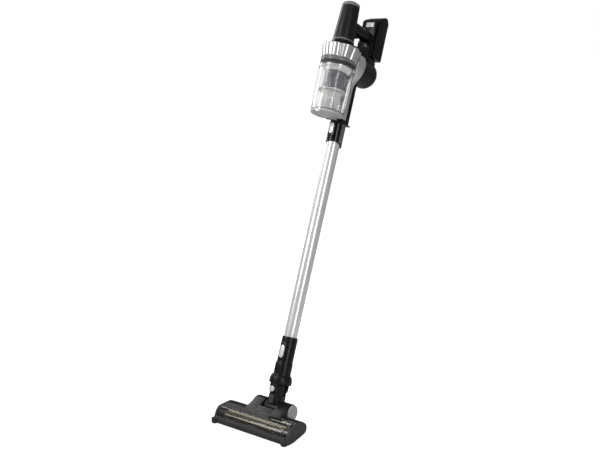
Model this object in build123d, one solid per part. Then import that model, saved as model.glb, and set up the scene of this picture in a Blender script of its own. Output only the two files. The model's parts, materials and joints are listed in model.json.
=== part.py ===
from build123d import *
import math
import os

# Cordless stick vacuum, millimetres. Z is up, the front is -Y, X is across the floor head.
# The origin is on the floor under the neck's pitch axis, at the middle of the floor head's sole.
# Parts of the stick are drawn upright, with Z along the stick measured from the pitch axis and
# Y pointing to the back, and are then leaned back by in_stick().

os.makedirs("parts", exist_ok=True)

# Driving dimensions: the whole machine
LEAN = 21.3
PIVOT_Z = 38.0
GAP = 0.3

# Driving dimensions: floor head
HEAD_HALF = 130.5
CAP_THICK = 9.0
HEAD_FRONT = -115.0
HEAD_TOP = 44.0
WALL = 2.4
BRUSH_Y = -79.0
BRUSH_Z = 18.0
BRUSH_R = 17.7
CORE_R = 12.0
POD_R = 24.0
POD_HALF = 61.0
NECK_HALF = 25.0
MOTOR_Y = -42.0
MOTOR_Z = 26.0
MOTOR_R = 11.0
WHEEL_R = 6.5
WHEEL_Y = -14.0
WHEEL_X = 44.0
STUB_R = 4.0
BEARING_X = 124.5
BEARING_R = 8.0
INNER_HALF = HEAD_HALF - CAP_THICK - GAP
WINDOW_REAR = -57.0
PULLEY_LOW_X = 99.0
PULLEY_HIGH_X = 107.0
SOLE_THICK = 2.8
SOLE_SCREWS = ((-30, -50), (30, -50), (-111, BRUSH_Y), (111, BRUSH_Y))

# Driving dimensions: swivel and wand
SWIVEL_T = 52.0
BALL_T = 68.0
BALL_R = 32.0
SLEEVE_T = 92.0
CONNECTOR_T = 124.0
TUBE_SEEN_T = 200.0
TUBE_LOW_T = 150.0
TUBE_R = 19.0
TUBE_WALL = 1.2
COLLAR_LOW_T = 764.0
TUBE_HIGH_T = 784.0
COLLAR_HIGH_T = 824.0
CONNECTOR_R = 22.5
SLEEVE_R = 24.0
COLLAR_R = 23.0
AIR_R = 16.4
NECK_BORE_R = 13.0
PIN_R = 4.0
HOSE_R = 16.0
HOSE_LOW_T = 36.0
HOSE_HIGH_T = 66.0
HOSE_RIDGES = 7
EAR_R = 10.0
EAR_IN = 18.0
EAR_OUT = 25.0
ARM_IN = 25.6
ARM_OUT = 31.0
BUTTON_HALF = 7.6

# Driving dimensions: main unit
BIN_Y = -62.5
BIN_LOW_T = 832.0
BIN_HIGH_T = 970.0
BIN_R = 48.0
BIN_WALL = 2.0
CROWN_LOW_T = 989.0
CROWN_HIGH_T = 1026.0
CROWN_R = 53.5
CROWN_TOP_R = 58.5
CROWN_BORE_R = 45.0
CROWN_LOBES = 10
RIM_R = 51.0
HINGE_Y = -27.0
HINGE_T = BIN_LOW_T - 1.0
HINGE_R = 2.6
LID_R = 47.5
SHROUD_R = 31.0
SHROUD_LOW_T = 901.0
SHROUD_HIGH_T = 952.0
DUST_TUBE_R = 27.0
TOWER_BORE_R = 20.0
TOWER_LOW_T = 1045.0
TOWER_HIGH_T = 1151.0
TOWER_LOW_R = 31.0
TOWER_HIGH_R = 26.0
TOWER_COLLAR_R = 34.0
TOWER_RING_R = 32.0
CAP_RISE = 17.0
CAP_SPHERE_R = 38.8
FRAME_R = 47.0
FRAME_FRONT = -8.0
DUCT_HALF = 19.0
DUCT_WALL = 3.0
DUCT_FRONT = -11.0
DUCT_REAR = 37.0
INLET_T = (925, 950)
DRUM_T = 999.0
DRUM_R = 40.0
DRUM_WALL = 2.6
DRUM_FRONT = 9.0
DRUM_REAR = 98.0
GRIP_T = 1105.0
GRIP_R = 17.5
TRIGGER_T = 1080.0
DOCK_FRONT = 47.0
DOCK_REAR = 58.0
DOCK_HIGH_T = 1160.0
PACK_REAR = 108.0
PACK_LOW_T = 1050.0
PACK_HIGH_T = 1184.0
PACK_HALF = 28.0
PACK_WALL = 2.5
CELL_R = 9.2


def in_stick(shape):
    """Lean a part of the stick back about the pitch axis and lift it to the pivot's height."""
    return Pos(0, 0, PIVOT_Z) * Rot(-LEAN, 0, 0) * shape


def block(x_span, y_span, z_span):
    """A box given by its low and high limits on each axis."""
    size = [high - low for low, high in (x_span, y_span, z_span)]
    middle = [(high + low) / 2 for low, high in (x_span, y_span, z_span)]
    return Pos(*middle) * Box(*size)


def post(radius, low, high, y=0.0, x=0.0):
    """A round bar along Z."""
    return Pos(x, y, (low + high) / 2) * Cylinder(radius, high - low)


def pipe(outer, inner, low, high, y=0.0):
    """A round tube along Z."""
    return post(outer, low, high, y) - post(inner, low - 1, high + 1, y)


def bar_x(radius, low, high, y, z):
    """A round bar along X."""
    return Pos((low + high) / 2, y, z) * Rot(0, 90, 0) * Cylinder(radius, high - low)


def bar_y(radius, low, high, x, z):
    """A round bar along Y."""
    return Pos(x, (low + high) / 2, z) * Rot(90, 0, 0) * Cylinder(radius, high - low)


def slice_x(points, low, high):
    """An outline in Y and Z carried along X."""
    face = Plane.YZ * make_face(Polyline(*points, close=True))
    return Pos(low, 0, 0) * extrude(face, amount=high - low)


def group(shapes):
    """Several separate solids as one node."""
    return Compound(children=[solid for shape in shapes for solid in shape.solids()])


def save(node, shape):
    """Write one node, keeping every solid of it."""
    solids = list(shape.solids())
    whole = solids[0] if len(solids) == 1 else Compound(children=solids)
    export_step(whole, f"parts/{node}.step")


# ---------------------------------------------------------------- floor head

def head_outline(inset=0.0):
    """The side outline of the floor head: sloped nose, flat top, round back, sole rising behind."""
    low = 3.0 + inset
    top = HEAD_TOP - inset
    nose = HEAD_FRONT + 4.0 + inset
    back = -24.0 - inset
    return [(nose, low), (nose + 12, top - 9), (nose + 22, top), (back - 16, top),
            (back - 4, top - 5), (back, top - 14), (back, low + 14), (back - 8, low + 7),
            (back - 20, low + 5), (-60, low)]


def head_shell():
    """Rear and top housing: a hollow with the window's opening, the brush slot and two round pods."""
    shell = slice_x(head_outline(), -INNER_HALF, INNER_HALF)
    shell -= slice_x(head_outline(WALL), -INNER_HALF - 1, INNER_HALF + 1)
    shell -= block((-INNER_HALF - 1, INNER_HALF + 1), (HEAD_FRONT, WINDOW_REAR), (-1, HEAD_TOP + 1))
    for side in (-1, 1):
        low, high = sorted((side * (NECK_HALF + GAP), side * POD_HALF))
        pod = bar_x(POD_R, low, high, 0, PIVOT_Z)
        pod += block((low, high), (-34, -2), (PIVOT_Z - 20, PIVOT_Z + 20))
        pod -= slice_x(head_outline(WALL), low - 1, high + 1)
        pod -= bar_x(POD_R - WALL, low + 8, high - 8, 0, PIVOT_Z)
        pod -= block((side * WHEEL_X - 9, side * WHEEL_X + 9), (WHEEL_Y - 8, WHEEL_Y + 8), (0, 22))
        for offset in (-9, 9):
            fork = block((side * WHEEL_X + offset - 1.8, side * WHEEL_X + offset + 1.8),
                         (WHEEL_Y - 5, WHEEL_Y + 5), (3.4, 23))
            pod += fork
        pod -= bar_x(1.55, side * WHEEL_X - 12, side * WHEEL_X + 12, WHEEL_Y, WHEEL_R)
        shell += pod
    shell -= bar_x(STUB_R + 0.02, -POD_HALF + 6, POD_HALF - 6, 0, PIVOT_Z)
    shell -= block((-20.3, 20.3), (-60, -20), (5.7, 34.3))
    shell -= bar_x(MOTOR_R + 0.4, 28, 112, MOTOR_Y, MOTOR_Z)
    return shell


def air_duct():
    """Flat duct from the brush chamber back to the neck's barrel."""
    duct = block((-20, 20), (-56, -22.5), (6, 34))
    return duct - block((-18.4, 18.4), (-57, -21), (7.6, 32.4))


def pitch_stub(side):
    """Short axle on which one end of the neck's barrel turns."""
    low, high = sorted((side * 16.0, side * (POD_HALF - 6)))
    return bar_x(STUB_R, low, high, 0, PIVOT_Z)


def hub_disc(side):
    """Flat disc that closes the outer end of a pod."""
    low, high = sorted((side * (POD_HALF + 0.05), side * (POD_HALF + 3.2)))
    return bar_x(22.5, low, high, 0, PIVOT_Z)


def rear_wheel(side):
    """Small roller under a pod, with its own axle ends."""
    wheel = bar_x(WHEEL_R, side * WHEEL_X - 6.8, side * WHEEL_X + 6.8, WHEEL_Y, WHEEL_R)
    return wheel + bar_x(1.5, side * WHEEL_X - 10.6, side * WHEEL_X + 10.6, WHEEL_Y, WHEEL_R)


def window():
    """Clear curved cover over the brush, from the bumper's top edge to the housing."""
    cover = slice_x(head_outline(), -INNER_HALF, INNER_HALF)
    cover -= slice_x(head_outline(2.0), -INNER_HALF - 1, INNER_HALF + 1)
    return cover & block((-INNER_HALF, INNER_HALF), (HEAD_FRONT, WINDOW_REAR - 0.2), (22, HEAD_TOP + 1))


def front_bumper():
    """Soft bar across the nose with long slots, ending in round corner bulges."""
    bar = slice_x([(HEAD_FRONT, 3.2), (HEAD_FRONT, 15), (HEAD_FRONT + 5, 21.6), (HEAD_FRONT + 12, 21.6),
                   (HEAD_FRONT + 8, 3.2)], -INNER_HALF, INNER_HALF)
    for side in (-1, 1):
        bulge = Pos(side * (HEAD_HALF - 8.5), HEAD_FRONT + 1.5, 11) * Cylinder(9.5, 15)
        bar += bulge & block((-HEAD_HALF, HEAD_HALF), (HEAD_FRONT - 8, HEAD_FRONT + 4.4), (0, 30))
    for x in (-70, 0, 70):
        slot = block((x - 28, x + 28), (HEAD_FRONT - 2, HEAD_FRONT + 1.5), (7, 10))
        bar -= slot
    return bar


def end_cap(side):
    """Flat cap that closes one end of the brush chamber, with a bearing boss inside."""
    low, high = sorted((side * (HEAD_HALF - CAP_THICK), side * HEAD_HALF))
    nose = [(-84, 1.5), (HEAD_FRONT + 7, 2.5), (HEAD_FRONT + 5, 14), (HEAD_FRONT + 15, 35),
            (HEAD_FRONT + 25, HEAD_TOP)]
    heel = [(-40, HEAD_TOP), (-29, 38), (-24, 30), (-24, 18), (-32, 10.5), (-48, 7.5)]
    cap = slice_x(nose + heel, low, high)
    pocket_low, pocket_high = sorted((side * (HEAD_HALF - CAP_THICK - 1), side * (HEAD_HALF - 3)))
    return cap - bar_x(BEARING_R + 0.05, pocket_low, pocket_high, BRUSH_Y, BRUSH_Z)


def sole_plate():
    """Bottom plate with the brush slot, screwed on, with a tongue back to the wheels."""
    plate = block((-INNER_HALF, INNER_HALF), (HEAD_FRONT + 9, -56), (0, SOLE_THICK))
    plate += block((-36, 36), (-57, 9), (0, SOLE_THICK))
    plate -= block((-104, 104), (BRUSH_Y - 20, BRUSH_Y + 20), (-1, 5))
    for x, y in SOLE_SCREWS:
        plate -= post(1.7, -1, 4, y, x)
    return plate


def sole_screws():
    """Four pan-head screws through the sole plate."""
    return group([post(1.5, 0.8, SOLE_THICK, y, x) for x, y in SOLE_SCREWS])


def brush_core():
    """Hollow roller with an end stub at each side and the belt pulley moulded at the driven end."""
    core = bar_x(CORE_R, -112, 96, BRUSH_Y, BRUSH_Z) - bar_x(CORE_R - 2.5, -110, 94, BRUSH_Y, BRUSH_Z)
    core += bar_x(3.0, -BEARING_X - 2, -110, BRUSH_Y, BRUSH_Z)
    core += bar_x(3.0, 94, BEARING_X + 2, BRUSH_Y, BRUSH_Z)
    core += bar_x(9.0, PULLEY_LOW_X, PULLEY_HIGH_X, BRUSH_Y, BRUSH_Z)
    return core


def brush_tufts():
    """Rows of bristle blades around the roller."""
    rows = []
    for row in range(6):
        blade = block((-100, 92), (-1.6, 1.6), (CORE_R + 0.01, BRUSH_R))
        rows.append(Pos(0, BRUSH_Y, BRUSH_Z) * Rot(60 * row, 0, 0) * blade)
    return group(rows)


def bearing(x):
    """Plain ball bearing ring on a brush stub."""
    return bar_x(BEARING_R, x - 2.5, x + 2.5, BRUSH_Y, BRUSH_Z) - bar_x(3.05, x - 4, x + 4, BRUSH_Y, BRUSH_Z)


def brush_motor():
    """Small motor beside the neck that drives the roller by belt."""
    return bar_x(MOTOR_R, 30, 96, MOTOR_Y, MOTOR_Z) - bar_x(1.6, 90, 98, MOTOR_Y, MOTOR_Z)


def motor_pulley():
    """Small belt pulley on the brush motor's shaft."""
    wheel = bar_x(5.0, PULLEY_LOW_X, PULLEY_HIGH_X, MOTOR_Y, MOTOR_Z)
    return wheel + bar_x(1.5, PULLEY_LOW_X - 8, PULLEY_LOW_X, MOTOR_Y, MOTOR_Z)


def ring_between(y_a, z_a, r_a, y_b, z_b, r_b, low, high):
    """A belt-like solid around two discs on X axes."""
    far = math.hypot(y_b - y_a, z_b - z_a)
    angle = math.atan2(z_b - z_a, y_b - y_a)
    tilt = math.acos((r_a - r_b) / far)
    points = []
    for centre, radius, sign in (((y_a, z_a), r_a, 1), ((y_b, z_b), r_b, 1), ((y_b, z_b), r_b, -1),
                                 ((y_a, z_a), r_a, -1)):
        turn = angle + sign * tilt
        points.append((centre[0] + radius * math.cos(turn), centre[1] + radius * math.sin(turn)))
    return slice_x(points, low, high) + bar_x(r_a, low, high, y_a, z_a) + bar_x(r_b, low, high, y_b, z_b)


def drive_belt():
    """Belt around the two pulleys."""
    low, high = PULLEY_LOW_X, PULLEY_HIGH_X
    outer = ring_between(BRUSH_Y, BRUSH_Z, 10.4, MOTOR_Y, MOTOR_Z, 6.4, low + 1, high - 1)
    return outer - ring_between(BRUSH_Y, BRUSH_Z, 9.1, MOTOR_Y, MOTOR_Z, 5.1, low, high)


# ---------------------------------------------------------------- neck and swivel

def neck_hub():
    """Barrel between the pods with two ears for the swivel pins and the air way through."""
    hub = bar_x(21, -NECK_HALF, NECK_HALF, 0, 0) + block((-17, 17), (-19, 19), (0, 34))
    for side in (-1, 1):
        low, high = sorted((side * EAR_IN, side * EAR_OUT))
        hub += block((-EAR_R, EAR_R), (low, high), (6, SWIVEL_T)) + bar_y(EAR_R, low, high, 0, SWIVEL_T)
    hub -= post(NECK_BORE_R, -14, 60)
    hub -= block((-13, 13), (-30, 0), (-13, 4))
    hub -= bar_x(STUB_R + 0.05, -30, 30, 0, 0)
    hub -= bar_y(PIN_R + 0.05, -40, 40, 0, SWIVEL_T)
    return hub


def flex_hose():
    """Corrugated hose from the neck's barrel up into the yoke."""
    hose = pipe(11.0, 9.5, -10, HOSE_LOW_T) + pipe(HOSE_R - 2, 9.5, HOSE_LOW_T - 1, HOSE_HIGH_T)
    step = (HOSE_HIGH_T - HOSE_LOW_T) / HOSE_RIDGES
    for index in range(HOSE_RIDGES):
        hose += pipe(HOSE_R, 9.5, HOSE_LOW_T + step * index, HOSE_LOW_T + step * (index + 0.5))
    return hose


def yoke():
    """Domed fork over the neck, running up into the sleeve."""
    dome = Pos(0, 0, BALL_T) * Sphere(BALL_R) - Pos(0, 0, BALL_T) * Sphere(BALL_R - 3)
    dome &= block((-40, 40), (-40, 40), (BALL_T, SLEEVE_T + 20))
    dome -= post(AIR_R, BALL_T, BALL_T + 60)
    inside = Pos(0, 0, BALL_T) * Sphere(BALL_R - 3) & block((-40, 40), (-40, 40), (BALL_T, 200))
    for side in (-1, 1):
        low, high = sorted((side * ARM_IN, side * ARM_OUT))
        arm = block((-EAR_R - 1, EAR_R + 1), (low, high), (SWIVEL_T, BALL_T + 12))
        arm += bar_y(EAR_R + 1, low, high, 0, SWIVEL_T)
        dome += arm - inside
    dome += pipe(SLEEVE_R, AIR_R, SLEEVE_T, CONNECTOR_T)
    dome += block((-12, 12), (-SLEEVE_R - 3.5, 0), (SLEEVE_T + 4, CONNECTOR_T + 4)) - post(20, 80, 200)
    dome += pipe(CONNECTOR_R, AIR_R, CONNECTOR_T, TUBE_LOW_T - 0.4)
    dome += pipe(CONNECTOR_R, TUBE_R + GAP, TUBE_LOW_T - 0.4, TUBE_SEEN_T)
    dome += block((-11, 11), (-26, 0), (132, 184)) - post(TUBE_R + 1.0, 120, 200)
    dome -= block((-BUTTON_HALF - 0.8, BUTTON_HALF + 0.8), (-30, -15), (138, 178))
    return dome - bar_y(PIN_R + 0.05, -40, 40, 0, SWIVEL_T)


def swivel_pin(side):
    """Stepped pin through one ear of the yoke and the neck, with a round cap outside."""
    low, high = sorted((side * (EAR_IN + 1), side * (ARM_OUT + GAP)))
    pin = bar_y(PIN_R, low, high, 0, SWIVEL_T)
    cap_low, cap_high = sorted((side * (ARM_OUT + GAP), side * (ARM_OUT + 4)))
    return pin + bar_y(8.0, cap_low, cap_high, 0, SWIVEL_T)


def release_button(low, high, front):
    """Rounded push button on the front of a connector."""
    button = block((-BUTTON_HALF, BUTTON_HALF), (front, front + 4.2), (low, high))
    return fillet(button.edges().filter_by(Axis.Y), BUTTON_HALF - 0.6)


# ---------------------------------------------------------------- wand

def upper_collar():
    """Collar on the wand's top end with the release button's saddle and a flat on each side."""
    collar = pipe(COLLAR_R, TUBE_R + 0.05, COLLAR_LOW_T, TUBE_HIGH_T)
    collar += pipe(COLLAR_R, TUBE_R, TUBE_HIGH_T, COLLAR_HIGH_T)
    inside = post(TUBE_R + 1.5, COLLAR_LOW_T - 50, COLLAR_HIGH_T + 50)
    collar += block((-12, 12), (12, 27), (COLLAR_LOW_T - 8, COLLAR_HIGH_T)) - inside
    collar += block((-11, 11), (-27, 0), (COLLAR_LOW_T + 16, COLLAR_HIGH_T)) - inside
    button_x = (-BUTTON_HALF - 0.8, BUTTON_HALF + 0.8)
    return collar - block(button_x, (-30, -20.5), (COLLAR_LOW_T + 22, COLLAR_HIGH_T - 3))


# ---------------------------------------------------------------- main unit

def crown_cone(spare, high):
    """The flaring outer form of the crown ring, with some room around it."""
    tall = high - CROWN_LOW_T
    return Pos(0, BIN_Y, CROWN_LOW_T + tall / 2) * Cone(CROWN_R + spare, CROWN_TOP_R + spare, tall)


def front_frame():
    """Silver front half: duct front below and the round dish that carries the crown."""
    inner = DUCT_HALF - DUCT_WALL
    frame = block((-DUCT_HALF, DUCT_HALF), (DUCT_FRONT, DRUM_FRONT), (BIN_LOW_T + 4, DRUM_T))
    frame += bar_y(FRAME_R, FRAME_FRONT, DRUM_FRONT, 0, DRUM_T)
    horns = bar_y(FRAME_R, -40, FRAME_FRONT + 1, 0, DRUM_T)
    frame += horns & block((-60, 60), (-40, 0), (CROWN_LOW_T, CROWN_HIGH_T))
    frame -= post(CROWN_R + GAP, CROWN_LOW_T - 4, CROWN_LOW_T, BIN_Y) + crown_cone(GAP, CROWN_HIGH_T)
    frame -= block((-inner, inner), (DUCT_FRONT + DUCT_WALL, DRUM_FRONT + 1), (BIN_LOW_T + 2, DRUM_T))
    frame -= bar_y(FRAME_R - 3.5, -1, DRUM_FRONT + 1, 0, DRUM_T)
    frame -= block((-60, 60), (-20, 20), (CROWN_HIGH_T, CROWN_HIGH_T + 60))
    return frame - block((-13, 13), (DUCT_FRONT - 3, DUCT_FRONT + 7), INLET_T)


def duct_rear():
    """Black rear half of the duct behind the silver frame."""
    inner = DUCT_HALF - DUCT_WALL
    duct = block((-DUCT_HALF, DUCT_HALF), (DRUM_FRONT + 0.2, DUCT_REAR), (BIN_LOW_T - 4, 966))
    duct -= block((-inner, inner), (DRUM_FRONT, DUCT_REAR - DUCT_WALL), (BIN_LOW_T - 6, 970))
    return duct - bar_y(DRUM_R + GAP, 0, 60, 0, DRUM_T)


def inlet_spigot():
    """Round inlet that the wand's collar slides over from inside, with a square flange above."""
    inner = DUCT_HALF - DUCT_WALL
    low = COLLAR_HIGH_T + 1
    flange = block((-DUCT_HALF, DUCT_HALF), (DUCT_FRONT, DUCT_REAR), (low, low + 2.8))
    flange += block((-DUCT_HALF, DUCT_HALF), (DUCT_FRONT, DRUM_FRONT), (low, BIN_LOW_T + 3.8))
    flange -= block((-inner, inner), (DUCT_FRONT + DUCT_WALL, DRUM_FRONT + 1), (low + 2.8, BIN_LOW_T + 4))
    flange -= post(AIR_R, low - 5, low + 15)
    return pipe(TUBE_R - 0.4, AIR_R, TUBE_HIGH_T + 4, low + 1) + flange


def crown_ring():
    """Lobed ring around the top of the dust cup."""
    lobe_r = 20.0
    tall = CROWN_HIGH_T - CROWN_LOW_T
    middle = CROWN_LOW_T + tall / 2
    lobe = Pos(CROWN_R - lobe_r, 0, middle) * Cone(lobe_r, lobe_r + CROWN_TOP_R - CROWN_R, tall)
    lobe -= post(CROWN_BORE_R + 1, CROWN_LOW_T - 1, CROWN_HIGH_T + 1)
    ring = pipe(CROWN_R - 4.5, CROWN_BORE_R, CROWN_LOW_T, CROWN_HIGH_T, BIN_Y)
    for index in range(CROWN_LOBES):
        ring += Pos(0, BIN_Y, 0) * Rot(0, 0, 360.0 / CROWN_LOBES * index) * lobe
    return ring + pipe(CROWN_BORE_R + 1, 12, CROWN_HIGH_T - 3, CROWN_HIGH_T, BIN_Y)


def tower_cone(spare=0.0):
    """The tapered outer form of the tower."""
    low = TOWER_LOW_T + 6
    tall = TOWER_HIGH_T - low
    return Pos(0, BIN_Y, low + tall / 2) * Cone(TOWER_LOW_R - 0.4 + spare, TOWER_HIGH_R + spare, tall)


def tower():
    """Tapered filter tower on top of the crown."""
    return tower_cone() - post(21.5, TOWER_LOW_T + 9, TOWER_HIGH_T + 1, BIN_Y) - post(12, 1000, 1200, BIN_Y)


def motor_housing():
    """Drum behind the frame, its axis front to back, closed behind by the exhaust grille."""
    drum = bar_y(DRUM_R, DRUM_FRONT + 0.2, DRUM_REAR, 0, DRUM_T)
    drum = fillet(drum.edges().sort_by(Axis.Y)[-1], 16)
    hollow = bar_y(DRUM_R - DRUM_WALL, DRUM_FRONT - 1, DRUM_REAR - 5, 0, DRUM_T)
    drum -= fillet(hollow.edges().sort_by(Axis.Y)[-1], 14)
    drum -= bar_y(20.2, DRUM_REAR - 10, DRUM_REAR + 1, 0, DRUM_T)
    return drum


def exhaust_grille():
    """Round slotted plate in the back of the drum."""
    plate = bar_y(20.0, DRUM_REAR - 5, DRUM_REAR - 1, 0, DRUM_T)
    for index in range(-3, 4):
        half = math.sqrt(17.0 ** 2 - (5 * index) ** 2)
        plate -= block((-half, half), (80, 110), (DRUM_T + 5 * index - 1.2, DRUM_T + 5 * index + 1.2))
    return plate


def suction_motor():
    """Motor can held by two rubber rings in the drum."""
    return bar_y(22, 44, 84, 0, DRUM_T) - bar_y(3.1, 30, 90, 0, DRUM_T)


def motor_mount():
    """Rubber ring between the motor can and the drum."""
    return bar_y(DRUM_R - DRUM_WALL - 0.1, 50, 58, 0, DRUM_T) - bar_y(22.1, 40, 70, 0, DRUM_T)


def impeller():
    """Fan wheel with curved blades on the motor's shaft."""
    wheel = bar_y(26, 34, 37, 0, DRUM_T) + bar_y(6, 18, 36, 0, DRUM_T)
    for index in range(9):
        blade = block((4, 25), (20, 36), (-0.9, 0.9))
        wheel += Pos(0, 0, DRUM_T) * Rot(0, 40 * index, 0) * blade
    return wheel + bar_y(3.0, 30, 83, 0, DRUM_T)


def handle_body():
    """Deck, grip and rear post as one loop, before it is split into its two clamshells."""
    deck = slice_x([(-8, CROWN_HIGH_T + 2), (-33, CROWN_HIGH_T + 3), (-33, 1048), (-4, 1052), (24, 1066),
                    (46.5, 1074), (46.5, 1049.6), (88, 1049.6), (94, 1032), (84, 1014), (40, 1020)], -22, 22)
    deck -= bar_y(DRUM_R + 0.05, -10, 120, 0, DRUM_T)
    deck -= bar_y(FRAME_R + 0.2, -12, DRUM_FRONT + 0.1, 0, DRUM_T)
    deck -= post(TOWER_LOW_R + 4, 1000, 1200, BIN_Y)
    grip = bar_y(GRIP_R, -40, 46.8, 0, GRIP_T)
    grip -= tower_cone(0.05)
    grip -= block((-5.2, 5.2), (-27, 1), (TRIGGER_T, GRIP_T + 1))
    grip -= block((-5.6, 5.6), (-22, -4), (1105, 1115))
    column = block((-16, 16), (38, 46.8), (1066, GRIP_T)) + block((-22, 22), (40, 46.8), (1060, 1090))
    return deck + grip + column


def handle_half(side):
    """One clamshell of the handle."""
    low, high = sorted((side * 0.05, side * 60.0))
    return handle_body() & block((low, high), (-60, 120), (CROWN_HIGH_T - 26, PACK_HIGH_T))


def trigger():
    """Curved trigger under the front of the grip."""
    edge = [(-26, TRIGGER_T + 21), (-26, TRIGGER_T + 4), (-21, TRIGGER_T - 1), (-12, TRIGGER_T + 1),
            (-5, TRIGGER_T - 1), (0, TRIGGER_T + 3), (0, TRIGGER_T + 21)]
    return slice_x(edge, -5, 5) - block((-20, 20), (-23, -3), (TRIGGER_T + 16, TRIGGER_T + 30))


def battery_dock():
    """Plate behind the handle that carries the pack's rails and contacts."""
    dock = block((-24, 24), (DOCK_FRONT, DOCK_REAR), (PACK_LOW_T, DOCK_HIGH_T))
    dock = fillet(dock.edges().filter_by(Axis.Z), 2.5)
    return dock - block((-12, 12), (DOCK_REAR - 3, DOCK_REAR + 1), (1062, 1078))


def dock_contacts():
    """Row of spring blades in the dock."""
    depth = (DOCK_REAR - 3, DOCK_REAR - 0.2)
    return group([block((x - 1.0, x + 1.0), depth, (1064, 1076)) for x in (-8, -3, 3, 8)])


def battery_case():
    """Pack housing with a chamfered back edge on top."""
    case = slice_x([(DOCK_REAR + GAP, PACK_LOW_T), (DOCK_REAR + GAP, 1166), (88, PACK_HIGH_T),
                    (99, PACK_HIGH_T), (PACK_REAR, PACK_HIGH_T - 12), (PACK_REAR, PACK_LOW_T)],
                   -PACK_HALF, PACK_HALF)
    case = fillet(case.edges().filter_by(Axis.Z), 3)
    inner = PACK_HALF - PACK_WALL
    case -= block((-inner, inner), (DOCK_REAR + 3, PACK_REAR - PACK_WALL), (PACK_LOW_T + 8, DOCK_HIGH_T + 4))
    return case - block((-9.4, 9.4), (PACK_REAR - 10, PACK_REAR + 1), (PACK_LOW_T - 1, PACK_LOW_T + 6))


def battery_release():
    """Press tab under the pack's rear edge."""
    return block((-9, 9), (PACK_REAR - 6.4, PACK_REAR), (PACK_LOW_T + 1, PACK_LOW_T + 5.6))


def battery_cells():
    """Four round cells standing two by two."""
    spots = [(x, y) for x in (-CELL_R - 0.4, CELL_R + 0.4) for y in (73.0, 73.0 + 2 * CELL_R + 0.8)]
    return group([post(CELL_R, PACK_LOW_T + 11, PACK_LOW_T + 76, y, x) for x, y in spots])


def filter_cap():
    """Domed cap on top of the tower, with a spigot that plugs into it."""
    top = TOWER_HIGH_T + CAP_RISE
    dome = Pos(0, BIN_Y, top - CAP_SPHERE_R) * Sphere(CAP_SPHERE_R)
    dome &= post(TOWER_HIGH_R, TOWER_HIGH_T + GAP, top + 1, BIN_Y)
    return dome + post(21.2, TOWER_HIGH_T - 8, TOWER_HIGH_T + 1, BIN_Y)


def hepa_filter():
    """Pleated filter drum that hangs from the cap."""
    drum = post(17.5, TOWER_LOW_T + 14, TOWER_HIGH_T - 8.1, BIN_Y)
    for index in range(24):
        pleat = block((16.5, 20.4), (-1.1, 1.1), (TOWER_LOW_T + 14, TOWER_HIGH_T - 8.1))
        drum += Pos(0, BIN_Y, 0) * Rot(0, 0, 15 * index) * pleat
    return drum - post(13, TOWER_LOW_T, TOWER_HIGH_T - 12, BIN_Y)


def dust_cup():
    """Clear cup, open below, with the inlet hole at the back."""
    low = BIN_LOW_T + 5
    tall = BIN_HIGH_T - low
    middle = Pos(0, BIN_Y, low + tall / 2)
    inside = middle * Cone(BIN_R - 1 - BIN_WALL, BIN_R + 2 - BIN_WALL, tall + 0.01)
    wall = middle * Cone(BIN_R - 1, BIN_R + 2, tall) - inside
    wall += latch_ears() - inside
    return wall - block((-12, 12), (-30, 0), (INLET_T[0] + 1, INLET_T[1] - 1))


def mesh_shroud():
    """Fine metal mesh around the cyclone, as a thin sleeve with rows of slots."""
    sleeve = pipe(SHROUD_R, SHROUD_R - 1.4, SHROUD_LOW_T, SHROUD_HIGH_T, BIN_Y)
    for index in range(12):
        cut = block((26, 40), (-3, 3), (SHROUD_LOW_T + 5, SHROUD_HIGH_T - 5))
        sleeve -= Pos(0, BIN_Y, 0) * Rot(0, 0, 30 * index) * cut
    return sleeve


def cyclone_cone():
    """Bright cone between the mesh and the top of the cup."""
    tall = BIN_HIGH_T - SHROUD_HIGH_T - 0.1
    cone = Pos(0, BIN_Y, SHROUD_HIGH_T + 0.05 + tall / 2) * Cone(SHROUD_R, BIN_R - 4, tall)
    return cone - post(22, SHROUD_HIGH_T - 10, BIN_HIGH_T + 10, BIN_Y)


def dust_tube():
    """Inner tube of the cup with the flange that keeps dust below the mesh."""
    inner = DUST_TUBE_R - 2
    tube = pipe(DUST_TUBE_R, inner, BIN_LOW_T + 6, SHROUD_LOW_T - 5, BIN_Y)
    return tube + pipe(40.0, inner, SHROUD_LOW_T - 6, SHROUD_LOW_T, BIN_Y)


def lid_plate():
    """Bottom lid of the dust cup, with its rear edge cut off along the hinge."""
    lid = post(LID_R, BIN_LOW_T - 3, BIN_LOW_T + 4.6, BIN_Y)
    lid &= block((-60, 60), (-130, HINGE_Y - 3.2), (BIN_LOW_T - 30, BIN_LOW_T + 30))
    lid += bar_x(HINGE_R, -12, 12, HINGE_Y, HINGE_T)
    lid += block((-12, 12), (HINGE_Y - 4, HINGE_Y), (BIN_LOW_T - 3, BIN_LOW_T + 1))
    return lid - bar_x(1.05, -20, 20, HINGE_Y, HINGE_T)


def lid_latch():
    """Clear tab on the cup's front wall whose hook holds the lid shut."""
    front = BIN_Y - BIN_R
    tab = block((-7, 7), (front - 3.8, front - 1.2), (BIN_LOW_T - 5.6, BIN_LOW_T + 17))
    tab += block((-7, 7), (front - 3.8, front + 2.0), (BIN_LOW_T - 5.6, BIN_LOW_T - 3.4))
    return tab + bar_x(1.0, -9.6, 9.6, front - 2.5, BIN_LOW_T + 10)


def latch_ears():
    """Two ears on the cup's front wall that hold the latch's pivot."""
    front = BIN_Y - BIN_R
    ears = []
    for side in (-1, 1):
        low, high = sorted((side * 7.4, side * 10.0))
        ear = block((low, high), (front - 4.2, front + 4.5), (BIN_LOW_T + 7, BIN_LOW_T + 13))
        ear -= bar_x(1.05, -20, 20, front - 2.5, BIN_LOW_T + 10)
        ears.append(ear)
    return ears[0] + ears[1]


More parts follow.
